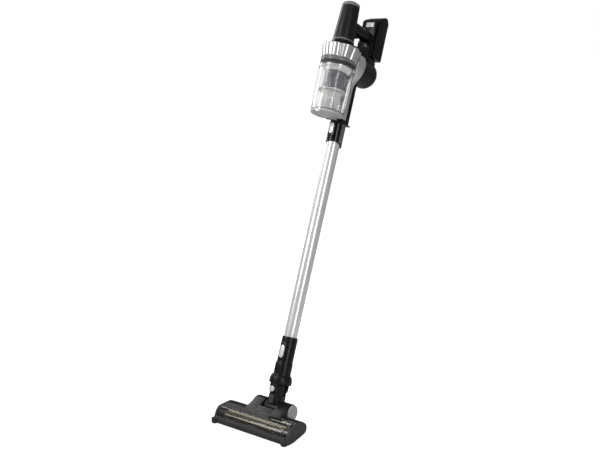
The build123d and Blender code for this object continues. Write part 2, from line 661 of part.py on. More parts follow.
def hinge_block():
    """Block at the back of the cup's bottom edge that carries the lid's pin."""
    base = post(LID_R, BIN_LOW_T - 3, BIN_LOW_T + 4.8, BIN_Y)
    base &= block((-30, 30), (-24, 0), (BIN_LOW_T - 30, BIN_LOW_T + 30))
    for side in (-1, 1):
        low, high = sorted((side * 12.4, side * 17.0))
        base += block((low, high), (HINGE_Y, HINGE_Y + 4), (BIN_LOW_T - 3, BIN_LOW_T + 4.6))
        base += bar_x(HINGE_R, low, high, HINGE_Y, HINGE_T)
    base -= bar_x(1.05, -20, 20, HINGE_Y, HINGE_T)
    return base - block((-4.4, 9.4), (-23.6, -15), (BIN_LOW_T - 4, BIN_LOW_T + 1.4))


# ---------------------------------------------------------------- the nodes

# Floor head
save("head_shell", head_shell())
save("brush_window", window())
save("front_bumper", front_bumper())
save("end_cap_left", end_cap(-1))
save("end_cap_right", end_cap(1))
save("sole_plate", sole_plate())
save("sole_screws", sole_screws())
save("hub_discs", group([hub_disc(-1), hub_disc(1)]))
save("pitch_stubs", group([pitch_stub(-1), pitch_stub(1)]))
save("air_duct", air_duct())
save("rear_wheel_left", rear_wheel(-1))
save("rear_wheel_right", rear_wheel(1))
save("brush_core", brush_core())
save("brush_tufts", brush_tufts())
save("brush_bearings", group([bearing(-BEARING_X), bearing(BEARING_X)]))
save("brush_motor", brush_motor())
save("motor_pulley", motor_pulley())
save("drive_belt", drive_belt())

# Neck, swivel and wand
save("neck_hub", in_stick(neck_hub()))
save("flex_hose", in_stick(flex_hose()))
save("swivel_yoke", in_stick(yoke()))
save("swivel_pins", in_stick(group([swivel_pin(-1), swivel_pin(1)])))
save("lower_button", in_stick(release_button(139, 176, -27.0)))
save("wand_tube", in_stick(pipe(TUBE_R, TUBE_R - TUBE_WALL, TUBE_LOW_T, TUBE_HIGH_T)))
save("upper_collar", in_stick(upper_collar()))
save("upper_button", in_stick(release_button(COLLAR_LOW_T + 23, COLLAR_HIGH_T - 4, -28.0)))

# Dust cup
save("dust_cup", in_stick(dust_cup()))
save("cup_gasket", in_stick(pipe(RIM_R - 0.1, BIN_R - 4, BIN_HIGH_T + 0.05, BIN_HIGH_T + 9, BIN_Y)))
save("cup_ring", in_stick(pipe(RIM_R, BIN_R - 4, BIN_HIGH_T + 9.05, CROWN_LOW_T - GAP, BIN_Y)))
save("cyclone_cone", in_stick(cyclone_cone()))
save("mesh_shroud", in_stick(mesh_shroud()))
save("dust_tube", in_stick(dust_tube()))
save("hinge_block", in_stick(hinge_block()))
save("lid_pin", in_stick(bar_x(1.0, -17, 17, HINGE_Y, HINGE_T)))
save("cup_lid", in_stick(lid_plate()))
save("lid_latch", in_stick(lid_latch()))
save("cup_release", in_stick(block((-4, 9), (-23.2, -17), (BIN_LOW_T - 4.6, BIN_LOW_T - 1))))

# Main unit
save("front_frame", in_stick(front_frame()))
save("duct_rear", in_stick(duct_rear()))
save("inlet_spigot", in_stick(inlet_spigot()))
save("crown_ring", in_stick(crown_ring()))
foot = pipe(TOWER_COLLAR_R, TOWER_BORE_R, CROWN_HIGH_T + 0.05, TOWER_LOW_T - 0.05, BIN_Y)
save("tower_collar", in_stick(foot))
save("tower_ring", in_stick(pipe(TOWER_RING_R, TOWER_BORE_R, TOWER_LOW_T, TOWER_LOW_T + 5.95, BIN_Y)))
save("filter_tower", in_stick(tower()))
save("filter_cap", in_stick(filter_cap()))
save("hepa_filter", in_stick(hepa_filter()))
save("motor_housing", in_stick(motor_housing()))
save("exhaust_grille", in_stick(exhaust_grille()))
save("suction_motor", in_stick(suction_motor()))
save("motor_mount", in_stick(motor_mount()))
save("impeller", in_stick(impeller()))
save("handle_left", in_stick(handle_half(-1)))
save("handle_right", in_stick(handle_half(1)))
save("trigger", in_stick(trigger()))
save("battery_dock", in_stick(battery_dock()))
save("dock_contacts", in_stick(dock_contacts()))
save("status_panel", in_stick(block((-9, 17), (45.6, DOCK_FRONT - 0.05), (1138, 1152))))
save("battery_case", in_stick(battery_case()))
save("battery_cells", in_stick(battery_cells()))
save("battery_release", in_stick(battery_release()))
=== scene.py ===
import json
import math

import bmesh
import bpy
import numpy as np
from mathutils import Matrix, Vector


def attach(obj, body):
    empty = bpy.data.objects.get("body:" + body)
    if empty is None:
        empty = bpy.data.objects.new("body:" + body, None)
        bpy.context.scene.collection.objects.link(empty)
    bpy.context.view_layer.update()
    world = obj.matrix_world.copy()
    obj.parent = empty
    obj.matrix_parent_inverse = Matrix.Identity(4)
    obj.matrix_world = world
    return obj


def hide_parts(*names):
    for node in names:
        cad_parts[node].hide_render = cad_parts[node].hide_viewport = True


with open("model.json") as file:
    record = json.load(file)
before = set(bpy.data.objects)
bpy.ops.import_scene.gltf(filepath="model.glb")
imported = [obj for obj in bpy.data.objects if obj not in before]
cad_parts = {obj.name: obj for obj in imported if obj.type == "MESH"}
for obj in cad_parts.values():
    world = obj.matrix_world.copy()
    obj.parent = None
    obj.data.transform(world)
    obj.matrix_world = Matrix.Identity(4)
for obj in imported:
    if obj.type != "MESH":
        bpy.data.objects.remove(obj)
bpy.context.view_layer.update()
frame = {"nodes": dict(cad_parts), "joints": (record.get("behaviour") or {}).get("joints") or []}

nodes = frame["nodes"]
joints = {joint["name"]: joint for joint in frame["joints"]}

# ---- Camera, floor and light
# The machine stands on a white sweep and is lit by large soft boxes, as a catalogue subject is.
# The camera is a little above the floor head's right front corner, level with the wand.

MM = 0.001


def area_light(name, place, aim, size, power, tint=(1.0, 1.0, 1.0)):
    """A square soft box at place, turned to face aim."""
    data = bpy.data.lights.new(name, "AREA")
    data.shape = "RECTANGLE"
    data.size, data.size_y = size
    data.energy = power
    data.color = tint
    lamp = bpy.data.objects.new(name, data)
    lamp.location = place
    lamp.rotation_euler = (Vector(aim) - Vector(place)).to_track_quat("-Z", "Y").to_euler()
    bpy.context.scene.collection.objects.link(lamp)


stick_middle = (0.0, 0.2, 0.6)
area_light("key_box", (-1.3, -2.0, 2.2), stick_middle, (1.0, 1.8), 40.0)
area_light("side_box", (2.3, -1.25, 1.5), stick_middle, (0.35, 2.2), 24.0)
area_light("back_box", (-2.2, 0.6, 1.9), stick_middle, (1.0, 2.0), 20.0)
area_light("top_box", (0.2, 0.1, 3.2), stick_middle, (1.6, 1.6), 12.0)


def seen_directly(tree):
    """1 where a ray comes straight from the camera or through clear plastic, 0 for every bounce."""
    path = tree.nodes.new("ShaderNodeLightPath")
    either = tree.nodes.new("ShaderNodeMath")
    either.operation = "MAXIMUM"
    tree.links.new(path.outputs["Is Camera Ray"], either.inputs[0])
    tree.links.new(path.outputs["Is Transmission Ray"], either.inputs[1])
    return either.outputs["Value"]


world = bpy.data.worlds.new("white_room")
world.use_nodes = True
room = world.node_tree
fill = room.nodes["Background"]
fill.inputs["Color"].default_value = (1.0, 1.0, 1.0, 1.0)
fill.inputs["Strength"].default_value = 0.20
backdrop = room.nodes.new("ShaderNodeBackground")
backdrop.inputs["Color"].default_value = (1.0, 1.0, 1.0, 1.0)
mixed_room = room.nodes.new("ShaderNodeMixShader")
room.links.new(seen_directly(room), mixed_room.inputs["Fac"])
room.links.new(fill.outputs["Background"], mixed_room.inputs[1])
room.links.new(backdrop.outputs["Background"], mixed_room.inputs[2])
room.links.new(mixed_room.outputs["Shader"], room.nodes["World Output"].inputs["Surface"])
bpy.context.scene.world = world
bpy.context.scene.view_settings.view_transform = "Standard"

floor_data = bpy.data.meshes.new("floor")
reach = 14.0
floor_data.from_pydata([(-reach, -reach, 0), (reach, -reach, 0), (reach, reach, 0), (-reach, reach, 0)], [],
                       [(0, 1, 2, 3)])
floor = bpy.data.objects.new("floor", floor_data)
bpy.context.scene.collection.objects.link(floor)
floor_paint = bpy.data.materials.new("white_sweep")
floor_paint.use_nodes = True
sweep = floor_paint.node_tree
card = sweep.nodes["Principled BSDF"]
card.inputs["Base Color"].default_value = (0.93, 0.93, 0.93, 1.0)
card.inputs["Roughness"].default_value = 0.9
card.inputs["Emission Color"].default_value = (1.0, 1.0, 1.0, 1.0)
card.inputs["Emission Strength"].default_value = 0.86
dim_card = sweep.nodes.new("ShaderNodeBsdfDiffuse")
dim_card.inputs["Color"].default_value = (0.7, 0.7, 0.7, 1.0)
mixed_card = sweep.nodes.new("ShaderNodeMixShader")
sweep.links.new(seen_directly(sweep), mixed_card.inputs["Fac"])
sweep.links.new(dim_card.outputs["BSDF"], mixed_card.inputs[1])
sweep.links.new(card.outputs["BSDF"], mixed_card.inputs[2])
sweep.links.new(mixed_card.outputs["Shader"], sweep.nodes["Material Output"].inputs["Surface"])
floor_data.materials.append(floor_paint)

camera_data = bpy.data.cameras.new("camera")
camera_data.lens = 50.7
camera_data.sensor_width = 36.0
camera = bpy.data.objects.new("camera", camera_data)
camera.location = (1.3779, -1.7224, 0.9867)
azimuth, elevation = math.radians(36.83), math.radians(11.07)
camera.rotation_euler = (math.pi / 2 - elevation, 0.0, azimuth)
bpy.context.scene.collection.objects.link(camera)
bpy.context.scene.camera = camera

# ---- Wand tube
# A thin drawn aluminium tube, satin anodised, pushed into the connectors at both ends.
# Fine drawing lines run along it, and its finish clouds very slightly.

pivot = np.array(joints["neck_pitch"]["pos_m"])
along = -np.array(joints["wand_slide"]["axis"])
back = np.array(joints["wand_button_press"]["axis"])
across = np.array([1.0, 0.0, 0.0])
lean = math.atan2(along[1], along[2])


def on_stick(points):
    """Millimetres across, behind and along the stick, counted from the pitch axis, as places in metres."""
    points = np.asarray(points, float)
    return pivot + MM * (points[..., :1] * across + points[..., 1:2] * back + points[..., 2:3] * along)


def on_floor(points):
    """Millimetres in the floor head's own axes as places in metres."""
    return np.asarray(points, float) * MM


def skin(name, grid, place, wrap=True, caps=True, smooth=True):
    """A mesh over a grid of points, rows by columns round; caps closes both ends with flat faces."""
    grid = np.asarray(grid, float)
    rows, columns = grid.shape[:2]
    vertices = place(grid.reshape(-1, 3))
    row = np.arange(rows - 1)[:, None]
    column = np.arange(columns if wrap else columns - 1)[None, :]
    after = (column + 1) % columns
    faces = np.stack([row * columns + column, row * columns + after, (row + 1) * columns + after,
                      (row + 1) * columns + column], -1).reshape(-1, 4).tolist()
    if caps:
        faces.append(list(range(columns))[::-1])
        faces.append(list(range((rows - 1) * columns, rows * columns)))
    mesh = bpy.data.meshes.new(name)
    mesh.from_pydata(vertices.tolist(), [], faces)
    return finish_mesh(name, mesh, smooth)


def finish_mesh(name, mesh, smooth=True, crease=0.6):
    """Merge doubled points, turn the faces outwards, smooth all but the sharp edges and link the object."""
    work = bmesh.new()
    work.from_mesh(mesh)
    bmesh.ops.remove_doubles(work, verts=work.verts, dist=1e-6)
    bmesh.ops.dissolve_degenerate(work, edges=work.edges, dist=1e-7)
    bmesh.ops.recalc_face_normals(work, faces=work.faces)
    for edge in work.edges:
        edge.smooth = len(edge.link_faces) != 2 or edge.calc_face_angle(0.0) < crease
    work.to_mesh(mesh)
    work.free()
    mesh.polygons.foreach_set("use_smooth", [smooth] * len(mesh.polygons))
    thing = bpy.data.objects.new(name, mesh)
    bpy.context.scene.collection.objects.link(thing)
    return thing


def softened(outline, radius, closed=True, steps=5, on_axis=False):
    """An outline with every corner replaced by a short curve that starts and ends radius from the corner."""
    outline = np.asarray(outline, float)
    count = len(outline)
    share = np.linspace(0.0, 1.0, steps + 1)[:, None]
    result = []
    for index in range(count):
        here = outline[index]
        if not closed and index in (0, count - 1):
            result.append(here[None, :])
            continue
        before, following = outline[index - 1], outline[(index + 1) % count]
        run_in = np.linalg.norm(before - here)
        run_out = np.linalg.norm(following - here)
        size = 0.0 if on_axis and abs(here[0]) < 0.01 else radius
        reach_in = min(size, 0.49 * run_in)
        reach_out = min(size, 0.49 * run_out)
        start = here + (before - here) * reach_in / run_in
        end = here + (following - here) * reach_out / run_out
        result.append((1 - share) ** 2 * start + 2 * share * (1 - share) * here + share ** 2 * end)
    return np.concatenate(result)


def turned(name, profile, centre=0.0, steps=96, radius=0.8, place=on_stick, spin="along"):
    """A closed profile of radius and height turned about a line; its corners are softened by radius.

    Each ring point is (r cos a, r sin a) across the line, at the profile's height on it."""
    profile = softened(profile, radius, on_axis=True)
    angle = np.linspace(0.0, 2 * np.pi, steps, endpoint=False)
    size, height = profile[:, 0][:, None], profile[:, 1][:, None]
    flat = np.zeros((len(profile), steps))
    one, two = size * np.cos(angle), size * np.sin(angle)
    if spin == "along":
        grid = np.stack([one, centre + two, flat + height], -1)
    elif spin == "across":
        grid = np.stack([flat + height, centre[0] + one, centre[1] + two], -1)
    else:
        grid = np.stack([one, flat + height, centre + two], -1)
    grid = np.concatenate([grid, grid[:1]])
    return skin(name, grid, place, caps=False)


def tube_profile(outer, inner, low, high):
    """The closed section of a plain tube."""
    return [(inner, low), (outer, low), (outer, high), (inner, high)]


def solid_profile(radius, low, high):
    """The closed section of a plain bar, from the axis out."""
    return [(0.001, low), (radius, low), (radius, high), (0.001, high)]


class Finish:
    """A material whose nodes are added one after another."""

    def __init__(self, name):
        self.material = bpy.data.materials.new(name)
        self.material.use_nodes = True
        self.tree = self.material.node_tree
        self.shader = self.tree.nodes["Principled BSDF"]
        self.coordinates = self.tree.nodes.new("ShaderNodeTexCoord").outputs["Object"]

    def set(self, **values):
        for key, value in values.items():
            socket = self.shader.inputs[key.replace("_", " ")]
            socket.default_value = (*value, 1.0) if isinstance(value, tuple) and len(value) == 3 else value
        return self

    def mapped(self, scale=(1.0, 1.0, 1.0), turn=(0.0, 0.0, 0.0)):
        """Object coordinates turned and then stretched."""
        node = self.tree.nodes.new("ShaderNodeMapping")
        node.vector_type = "TEXTURE"
        node.inputs["Rotation"].default_value = turn
        node.inputs["Scale"].default_value = tuple(1.0 / value for value in scale)
        self.tree.links.new(self.coordinates, node.inputs["Vector"])
        return node.outputs["Vector"]

    def noise(self, scale, detail=3.0, vector=None, rough=0.55):
        node = self.tree.nodes.new("ShaderNodeTexNoise")
        node.inputs["Scale"].default_value = scale
        node.inputs["Detail"].default_value = detail
        node.inputs["Roughness"].default_value = rough
        self.tree.links.new(vector or self.coordinates, node.inputs["Vector"])
        return node.outputs["Fac"]

    def spread(self, value, low, high, start=0.0, end=1.0):
        """value, from start to end, spread between low and high."""
        node = self.tree.nodes.new("ShaderNodeMapRange")
        self.tree.links.new(value, node.inputs["Value"])
        for key, number in (("From Min", start), ("From Max", end), ("To Min", low), ("To Max", high)):
            node.inputs[key].default_value = number
        return node.outputs["Result"]

    def ramp(self, value, *stops):
        """A colour ramp; each stop is (place, colour)."""
        node = self.tree.nodes.new("ShaderNodeValToRGB")
        elements = node.color_ramp.elements
        while len(elements) < len(stops):
            elements.new(0.5)
        for element, (place, colour) in zip(elements, stops):
            element.position = place
            element.color = (*colour, 1.0)
        self.tree.links.new(value, node.inputs["Fac"])
        return node.outputs["Color"]

    def feed(self, key, value):
        self.tree.links.new(value, self.shader.inputs[key])
        return self

    def bumped(self, value, strength, distance):
        """Relief from a pattern, distance in metres, on top of any relief already there."""
        node = self.tree.nodes.new("ShaderNodeBump")
        node.inputs["Strength"].default_value = strength
        node.inputs["Distance"].default_value = distance
        self.tree.links.new(value, node.inputs["Height"])
        if self.shader.inputs["Normal"].is_linked:
            self.tree.links.new(self.shader.inputs["Normal"].links[0].from_socket, node.inputs["Normal"])
        self.tree.links.new(node.outputs["Normal"], self.shader.inputs["Normal"])
        return self


def paint(thing, material):
    """Give a piece or a CAD node its material, and a new piece its slot."""
    thing.data.materials.clear()
    thing.data.materials.append(material)
    return thing


def fit(piece, look, slot_name, body, *cad_nodes):
    """Paint a piece, ride it on its body and let it stand for its CAD nodes, if it has any."""
    paint(piece, look)
    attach(piece, body)
    if cad_nodes:
        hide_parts(*cad_nodes)


def satin_aluminium():
    """Anodised tube: stretched noise along the stick makes drawing lines, broad noise clouds the sheen."""
    look = Finish("satin_aluminium").set(Metallic=0.5)
    lines = look.noise(1.0, 4.0, look.mapped((900.0, 900.0, 6.0), (-lean, 0.0, 0.0)))
    clouds = look.noise(18.0, 3.0)
    look.feed("Base Color", look.ramp(clouds, (0.3, (0.84, 0.845, 0.85)), (0.7, (0.92, 0.925, 0.93))))
    look.feed("Roughness", look.spread(lines, 0.22, 0.38, 0.3, 0.7))
    return look.bumped(lines, 0.12, 0.0002).material


tube = turned("wand_tube_skin", tube_profile(19.0, 17.8, 150, 784), radius=0.25, steps=128)
fit(tube, satin_aluminium(), "satin_tube", "wand", "wand_tube")

# ---- Lower connector and swivel yoke
# A moulded black socket that grips the tube, a thicker sleeve, and a domed fork below it.
# The fork's two arms reach down outside the neck's ears, and ribs stiffen the dome.


def bent(outline, low, high, round_off, steps=4):
    """An outline carried between two heights, rounded in towards its middle at each end."""
    outline = np.asarray(outline, float)
    middle = outline.mean(0)
    turn = np.linspace(0.0, np.pi / 2, steps + 1)
    inset = round_off * (1.0 - np.sin(turn))
    rise = round_off * (1.0 - np.cos(turn))
    heights = np.concatenate([low + rise, high - rise[::-1]])
    insets = np.concatenate([inset, inset[::-1]])
    reach = np.linalg.norm(outline - middle, axis=1)
    shrink = 1.0 - insets[:, None] / reach[None, :]
    flat = middle + (outline - middle)[None] * shrink[..., None]
    return flat, np.broadcast_to(heights[:, None], flat.shape[:2])


def raised(name, outline, low, high, place=on_stick, round_off=1.0, corner=2.0, direction="along"):
    """A plate or bar: its outline runs in the two other axes, and it stands from low to high in direction."""
    flat, heights = bent(softened(outline, corner), low, high, round_off)
    first, second = flat[..., 0], flat[..., 1]
    order = {"along": (first, second, heights), "back": (first, heights, second),
             "across": (heights, first, second)}
    return skin(name, np.stack(order[direction], -1), place, caps=True)


def rectangle(x_span, y_span):
    """The four corners of a rectangle, going round."""
    return [(x_span[0], y_span[0]), (x_span[1], y_span[0]), (x_span[1], y_span[1]), (x_span[0], y_span[1])]


def joined(name, *things):
    """Several shapes made one piece, in the first one's place."""
    work = bmesh.new()
    for thing in things:
        work.from_mesh(thing.data)
        bpy.data.objects.remove(thing)
    mesh = bpy.data.meshes.new(name)
    work.to_mesh(mesh)
    work.free()
    whole = bpy.data.objects.new(name, mesh)
    bpy.context.scene.collection.objects.link(whole)
    return whole


def moulded_black(name, sheen, grain, base_tone=0.012):
    """Injection moulded black: a fine pebble grain, faint swirls of sheen and paler rubbed patches."""
    look = Finish(name).set(Specular_IOR_Level=0.3)
    swirl = look.noise(9.0, 4.0)
    pebble = look.noise(2600.0, 2.0)
    shade = (base_tone * 0.55, base_tone * 0.55, base_tone * 0.57)
    look.feed("Base Color", look.ramp(swirl, (0.35, shade), (0.75, (base_tone * 1.5, base_tone * 1.5, base_tone * 1.55))))
    look.feed("Roughness", look.spread(swirl, sheen * 0.8, sheen * 1.35, 0.3, 0.7))
    return look.bumped(pebble, grain, 0.00012).material


satin_black = moulded_black("satin_black", 0.34, 0.30, 0.007)
gloss_black = moulded_black("gloss_black", 0.20, 0.05, 0.004)

swivel_t = 52.0
socket_section = [(19.3, 200), (21.6, 200), (22.3, 196), (22.5, 129), (24.0, 124), (24.0, 96), (24.4, 93),
                  (26.6, 93.5), (30.2, 86), (32.0, 78), (32.0, 68), (29.0, 68), (28.4, 76), (25.8, 84),
                  (16.4, 92),
                  (16.4, 149.6), (19.3, 149.6)]
socket = turned("yoke_shell", socket_section, radius=1.6, steps=112)
parts = [socket]
for side in (-1, 1):
    arm_turn = np.linspace(np.pi, 2 * np.pi, 15)
    arm = np.stack([11.0 * np.cos(arm_turn), swivel_t + 11.0 * np.sin(arm_turn)], -1)
    arm = np.concatenate([arm, [(11.0, 76.0), (7.5, 84.0), (-7.5, 84.0), (-11.0, 76.0)]])
    parts.append(raised(f"arm_{side}", arm, *sorted((side * 25.6, side * 31.0)), round_off=1.0, corner=0.6,
                        direction="back"))
for index in range(-3, 4):
    parts.append(raised(f"rib_{index}", rectangle((index * 2.9 - 0.55, index * 2.9 + 0.55), (68.0, 82.0)),
                        -31.9, -29.0, round_off=0.4, corner=0.4, direction="back"))
for turn_at in (-1, 1):
    for index in range(4):
        low = 69.5 + 3.6 * index
        outer = math.sqrt(32.0 ** 2 - max(low - 76.0, 0.0) ** 2)
        angle = np.linspace(-0.75, 0.75, 25) + (0.0 if turn_at > 0 else np.pi)
        ring = np.stack([np.cos(angle), np.sin(angle)], -1)
        section = np.array([(outer - 2.0, low), (outer, low + 0.3), (outer, low + 1.3),
                            (outer - 2.0, low + 1.6)])
        grid = np.stack([np.stack([r * ring[:, 0], r * ring[:, 1], np.full(25, t)], -1) for r,
                         t in section], 1)
        parts.append(skin(f"dome_rib_{turn_at}_{index}", grid, on_stick, wrap=True, caps=True))
parts.append(raised("sleeve_step", rectangle((-11.8, 11.8), (96.5, 127.5)), -27.4, -18.0, round_off=2.6,
                    corner=3.0,
                    direction="back"))
parts.append(raised("button_saddle", rectangle((-10.5, 10.5), (133, 184)), -24.8, -19.6, round_off=2.2,
                    corner=5.0,
                    direction="back"))
yoke = joined("yoke_piece", *parts)
fit(yoke, satin_black, "black_satin", "foot", "swivel_yoke")

# ---- Release buttons on the two connectors
# Pale silver-painted push buttons with rounded ends, each in its own saddle, sprung from behind.
# One raised bar on each marks where to press.


def silver_button():
    """Soft silver paint over plastic, with a fine sparkle and slightly duller rubbed areas."""
    look = Finish("button_silver").set(Metallic=0.35)
    sparkle = look.noise(3200.0, 1.0)
    rubbed = look.noise(120.0, 3.0)
    look.feed("Base Color", look.ramp(rubbed, (0.3, (0.66, 0.665, 0.67)), (0.7, (0.78, 0.785, 0.79))))
    look.feed("Roughness", look.spread(rubbed, 0.26, 0.42, 0.3, 0.7))
    return look.bumped(sparkle, 0.10, 0.0001).material


button_paint = silver_button()


def push_button(name, low, high, front, body, node):
    """A stadium-shaped button standing proud of its saddle, with a bar across its lower end."""
    half = 7.2
    turn_top = np.linspace(0.0, np.pi, 17)
    turn_low = np.linspace(np.pi, 2 * np.pi, 17)
    outline = np.concatenate([
        np.stack([half * np.cos(turn_top), high - half + half * np.sin(turn_top)], -1),
        np.stack([half * np.cos(turn_low), low + half + half * np.sin(turn_low)], -1)])
    face = raised(name + "_face", outline, front, front + 2.6, round_off=1.2, corner=0.3, direction="back")
    bar = raised(name + "_bar", rectangle((-3.4, 3.4), (low + 7.0, low + 9.4)), front - 0.5, front + 1.0,
                 round_off=0.4, corner=0.9, direction="back")
    button = joined(name, face, bar)
    fit(button, button_paint, "light_grey", body, node)


push_button("foot_push", 139.5, 175.5, -27.0, "foot_button", "lower_button")
push_button("wand_push", 787.5, 819.5, -28.0, "wand_button", "upper_button")

# ---- Upper collar
# The wand's top fitting: a black moulded collar with a saddle for its button, a flat strip down each
# side, its grey a painted reflection of the light on the flat facet, and a tongue behind that reaches a
# little lower than the front.

collar_body = turned("collar_barrel", tube_profile(23.0, 19.05, 770, 824), radius=1.2, steps=112)
lower_turn = np.linspace(0.0, 2 * np.pi, 96, endpoint=False)
skirt_low = 763.0 - 5.0 * np.sin(lower_turn)
skirt = []
for size, height in ((19.05, 771.0), (19.05, None), (21.4, None), (22.6, 767.0), (22.9, 771.0)):
    level = skirt_low if height is None else np.full(96, height)
    skirt.append(np.stack([size * np.cos(lower_turn), size * np.sin(lower_turn), level], -1))
skirt_piece = skin("collar_skirt", np.array(skirt), on_stick, caps=False)
saddle = raised("collar_saddle", rectangle((-10.5, 10.5), (780, 823.6)), -25.8, -20.0, round_off=2.2,
                corner=5.0,
                direction="back")
tongue = raised("collar_tongue", rectangle((-11.5, 11.5), (757, 823.6)), 19.5, 26.8, round_off=2.0,
                corner=3.0,
                direction="back")
collar = joined("collar_piece", collar_body, skirt_piece, saddle, tongue)
fit(collar, gloss_black, "black_gloss", "wand", "upper_collar")

for side, word in ((-1, "left"), (1, "right")):
    # The strips' grey colour is a painted reflection of the light on the collar's flat facets, not the
    # plastic's own colour.
    strip = raised(f"collar_strip_{word}", rectangle((-7.5, 7.0), (766, 822)),
                   *sorted((side * 21.0, side * 23.0)),
                   round_off=0.5, corner=1.2, direction="across")
    look = moulded_black(f"strip_painted_reflection_{word}", 0.4, 0.2, 0.16)
    fit(strip, look, "grey_cap", "wand")

# ---- Neck, its swivel pins and the corrugated hose
# A black barrel turns between the floor head's pods; two ears carry the swivel pins with pale caps.
# A ribbed rubber hose inside carries the air up from the barrel into the yoke.

barrel = turned("neck_barrel", [(12.0, -25), (21, -25), (21, 25), (12.0, 25)], centre=(0.0, 0.0),
                radius=1.6,
                spin="across")
boss_angle = np.linspace(0, 2 * np.pi, 64, endpoint=False)


def superellipse(half_x, half_y, power=4.0, angle=boss_angle):
    """A rounded square outline: |x/a|^p + |y/b|^p = 1, walked by angle."""
    cosine, sine = np.cos(angle), np.sin(angle)
    size = (np.abs(cosine) ** power + np.abs(sine) ** power) ** (-1.0 / power)
    return np.stack([half_x * size * cosine, half_y * size * sine], -1)


levels = [(13.0, 13.0, 34.0), (13.0, 13.0, 36.0), (14.6, 15.2, 36.0), (16.4, 18.0, 33.0),
          (17.0, 19.0, 28.0),
          (18.0, 19.6, 12.0), (18.0, 19.6, 4.0)]
boss = skin("neck_boss", np.array([np.concatenate([superellipse(a, b), np.full((64, 1), t)], 1)
                                   for a, b, t in levels]), on_stick, caps=False)
parts = [barrel, boss]
for side in (-1, 1):
    ear_turn = np.linspace(0, np.pi, 15)
    ear = np.stack([10.0 * np.cos(ear_turn), swivel_t + 10.0 * np.sin(ear_turn)], -1)
    ear = np.concatenate([ear, [(-12.0, 30.0), (-13.0, 10.0), (13.0, 10.0), (12.0, 30.0)]])
    parts.append(raised(f"ear_{side}", ear, *sorted((side * 18.2, side * 24.8)), round_off=1.2, corner=1.5,
                        direction="back"))
neck = joined("neck_piece", *parts)
fit(neck, satin_black, "black_satin", "neck", "neck_hub")

tongue_look = moulded_black("tongue_grey", 0.34, 0.2, 0.07)
front_tongue = raised("neck_front_tongue", [(-6.0, 12.0), (6.0, 12.0), (8.5, 20.0), (7.0, 37.0),
                                            (-7.0, 37.0),
                                            (-8.5, 20.0)], -27.2, -24.4, round_off=0.8, corner=2.5,
                      direction="back")
fit(front_tongue, tongue_look, "grey_cap", "neck")

ridge_count = 7
wave = np.linspace(0.0, 1.0, ridge_count * 10 + 1)
outer_hose = 14.9 - 1.1 * np.cos(2 * np.pi * ridge_count * wave)
hose_height = 36.2 + 29.6 * wave
hose_section = [(9.5, -8.0), (11.0, -8.0), (11.0, 36.2)] + list(zip(outer_hose, hose_height)) + [(9.5,
                                                                                                  65.8)]
hose = turned("hose_bellows", hose_section, radius=0.01, steps=64)
hose_look = moulded_black("hose_rubber", 0.36, 0.2, 0.05)
fit(hose, hose_look, "rubber_dark", "neck", "flex_hose")

pin_pieces = []
for side in (-1, 1):
    pin_section = [(0.001, side * 19.0), (4.0, side * 19.0), (4.0, side * 31.3), (8.0, side * 31.3),
                   (8.0, side * 33.6), (6.4, side * 35.0), (0.001, side * 35.0)]
    pin_pieces.append(turned(f"pin_{side}", pin_section, centre=swivel_t, radius=0.7, steps=48,
                             spin="back"))
pins = joined("swivel_pin_caps", *pin_pieces)
fit(pins, button_paint, "light_grey", "neck", "swivel_pins")

# ---- Dust cup
# A clear polycarbonate cup, slightly wider at the top, blown thin and polished, with a thicker lip.
# Fine handling scratches catch the light on its outside.


def clear_plastic(name, tint, clarity):
    """Clear polycarbonate: mostly see-through, a sharp coat, and faint scratches in the roughness."""
    look = Finish(name).set(Base_Color=tint, IOR=1.30, Transmission_Weight=clarity, Specular_IOR_Level=0.25)
    scratches = look.noise(60.0, 6.0, look.mapped((1.0, 1.0, 9.0), (0.4, 0.3, 0.0)))
    return look.feed("Roughness", look.spread(scratches, 0.05, 0.16, 0.45, 0.75)).material


cup_look = clear_plastic("cup_polycarbonate", (0.95, 0.945, 0.935), 1.0)
cup_centre = -62.5
cup_section = [(45.0, 837.0), (47.0, 837.0), (48.0, 866.0), (50.0, 958.0), (51.2, 962.0), (51.2, 969.8),
               (48.0, 969.8),
               (47.8, 958.0), (45.9, 866.0)]
cup = turned("cup_clear", cup_section, centre=cup_centre, radius=0.9, steps=128)
fit(cup, cup_look, "clear_cup", "cup", "dust_cup")

# ---- Cup's rim, gasket and the parts inside
# A pale clamping ring and a dark rubber gasket close the top of the cup.
# Inside hang the bright cyclone cone, an etched steel mesh, and a pale tube with a dust flange.


def lacquered_silver(name, low=0.62, high=0.74, sheen=0.2):
    """Bright silver lacquer: metal flake sparkle under a clear coat, a little orange peel."""
    look = Finish(name).set(Metallic=0.65, Coat_Weight=0.4, Coat_Roughness=0.08)
    flake = look.noise(5200.0, 1.0)
    cloud = look.noise(26.0, 3.0)
    look.feed("Base Color", look.ramp(cloud, (0.3, (low, low, low * 1.01)),
                                      (0.7, (high, high, high * 1.01))))
    look.feed("Roughness", look.spread(flake, sheen * 0.8, sheen * 1.5, 0.3, 0.7))
    peel = look.noise(420.0, 2.0)
    return look.bumped(peel, 0.05, 0.0001).material


silver = lacquered_silver("silver_lacquer")
bright = lacquered_silver("bright_cone", 0.34, 0.46, 0.24)


def pale_plastic(name, low, high, sheen=0.35):
    """Light grey moulded plastic with a fine dark speckle and soft clouding."""
    look = Finish(name)
    speckle = look.noise(1500.0, 2.0)
    low_shade, high_shade = (low, low, low * 1.01), (high, high, high * 1.01)
    look.feed("Base Color", look.ramp(speckle, (0.38, low_shade), (0.58, high_shade)))
    look.feed("Roughness", look.spread(look.noise(40.0, 3.0), sheen * 0.8, sheen * 1.3, 0.3, 0.7))
    return look.bumped(speckle, 0.08, 0.0001).material


pale = pale_plastic("pale_grey", 0.30, 0.42)
rubber = moulded_black("dark_rubber", 0.55, 0.2, 0.04)


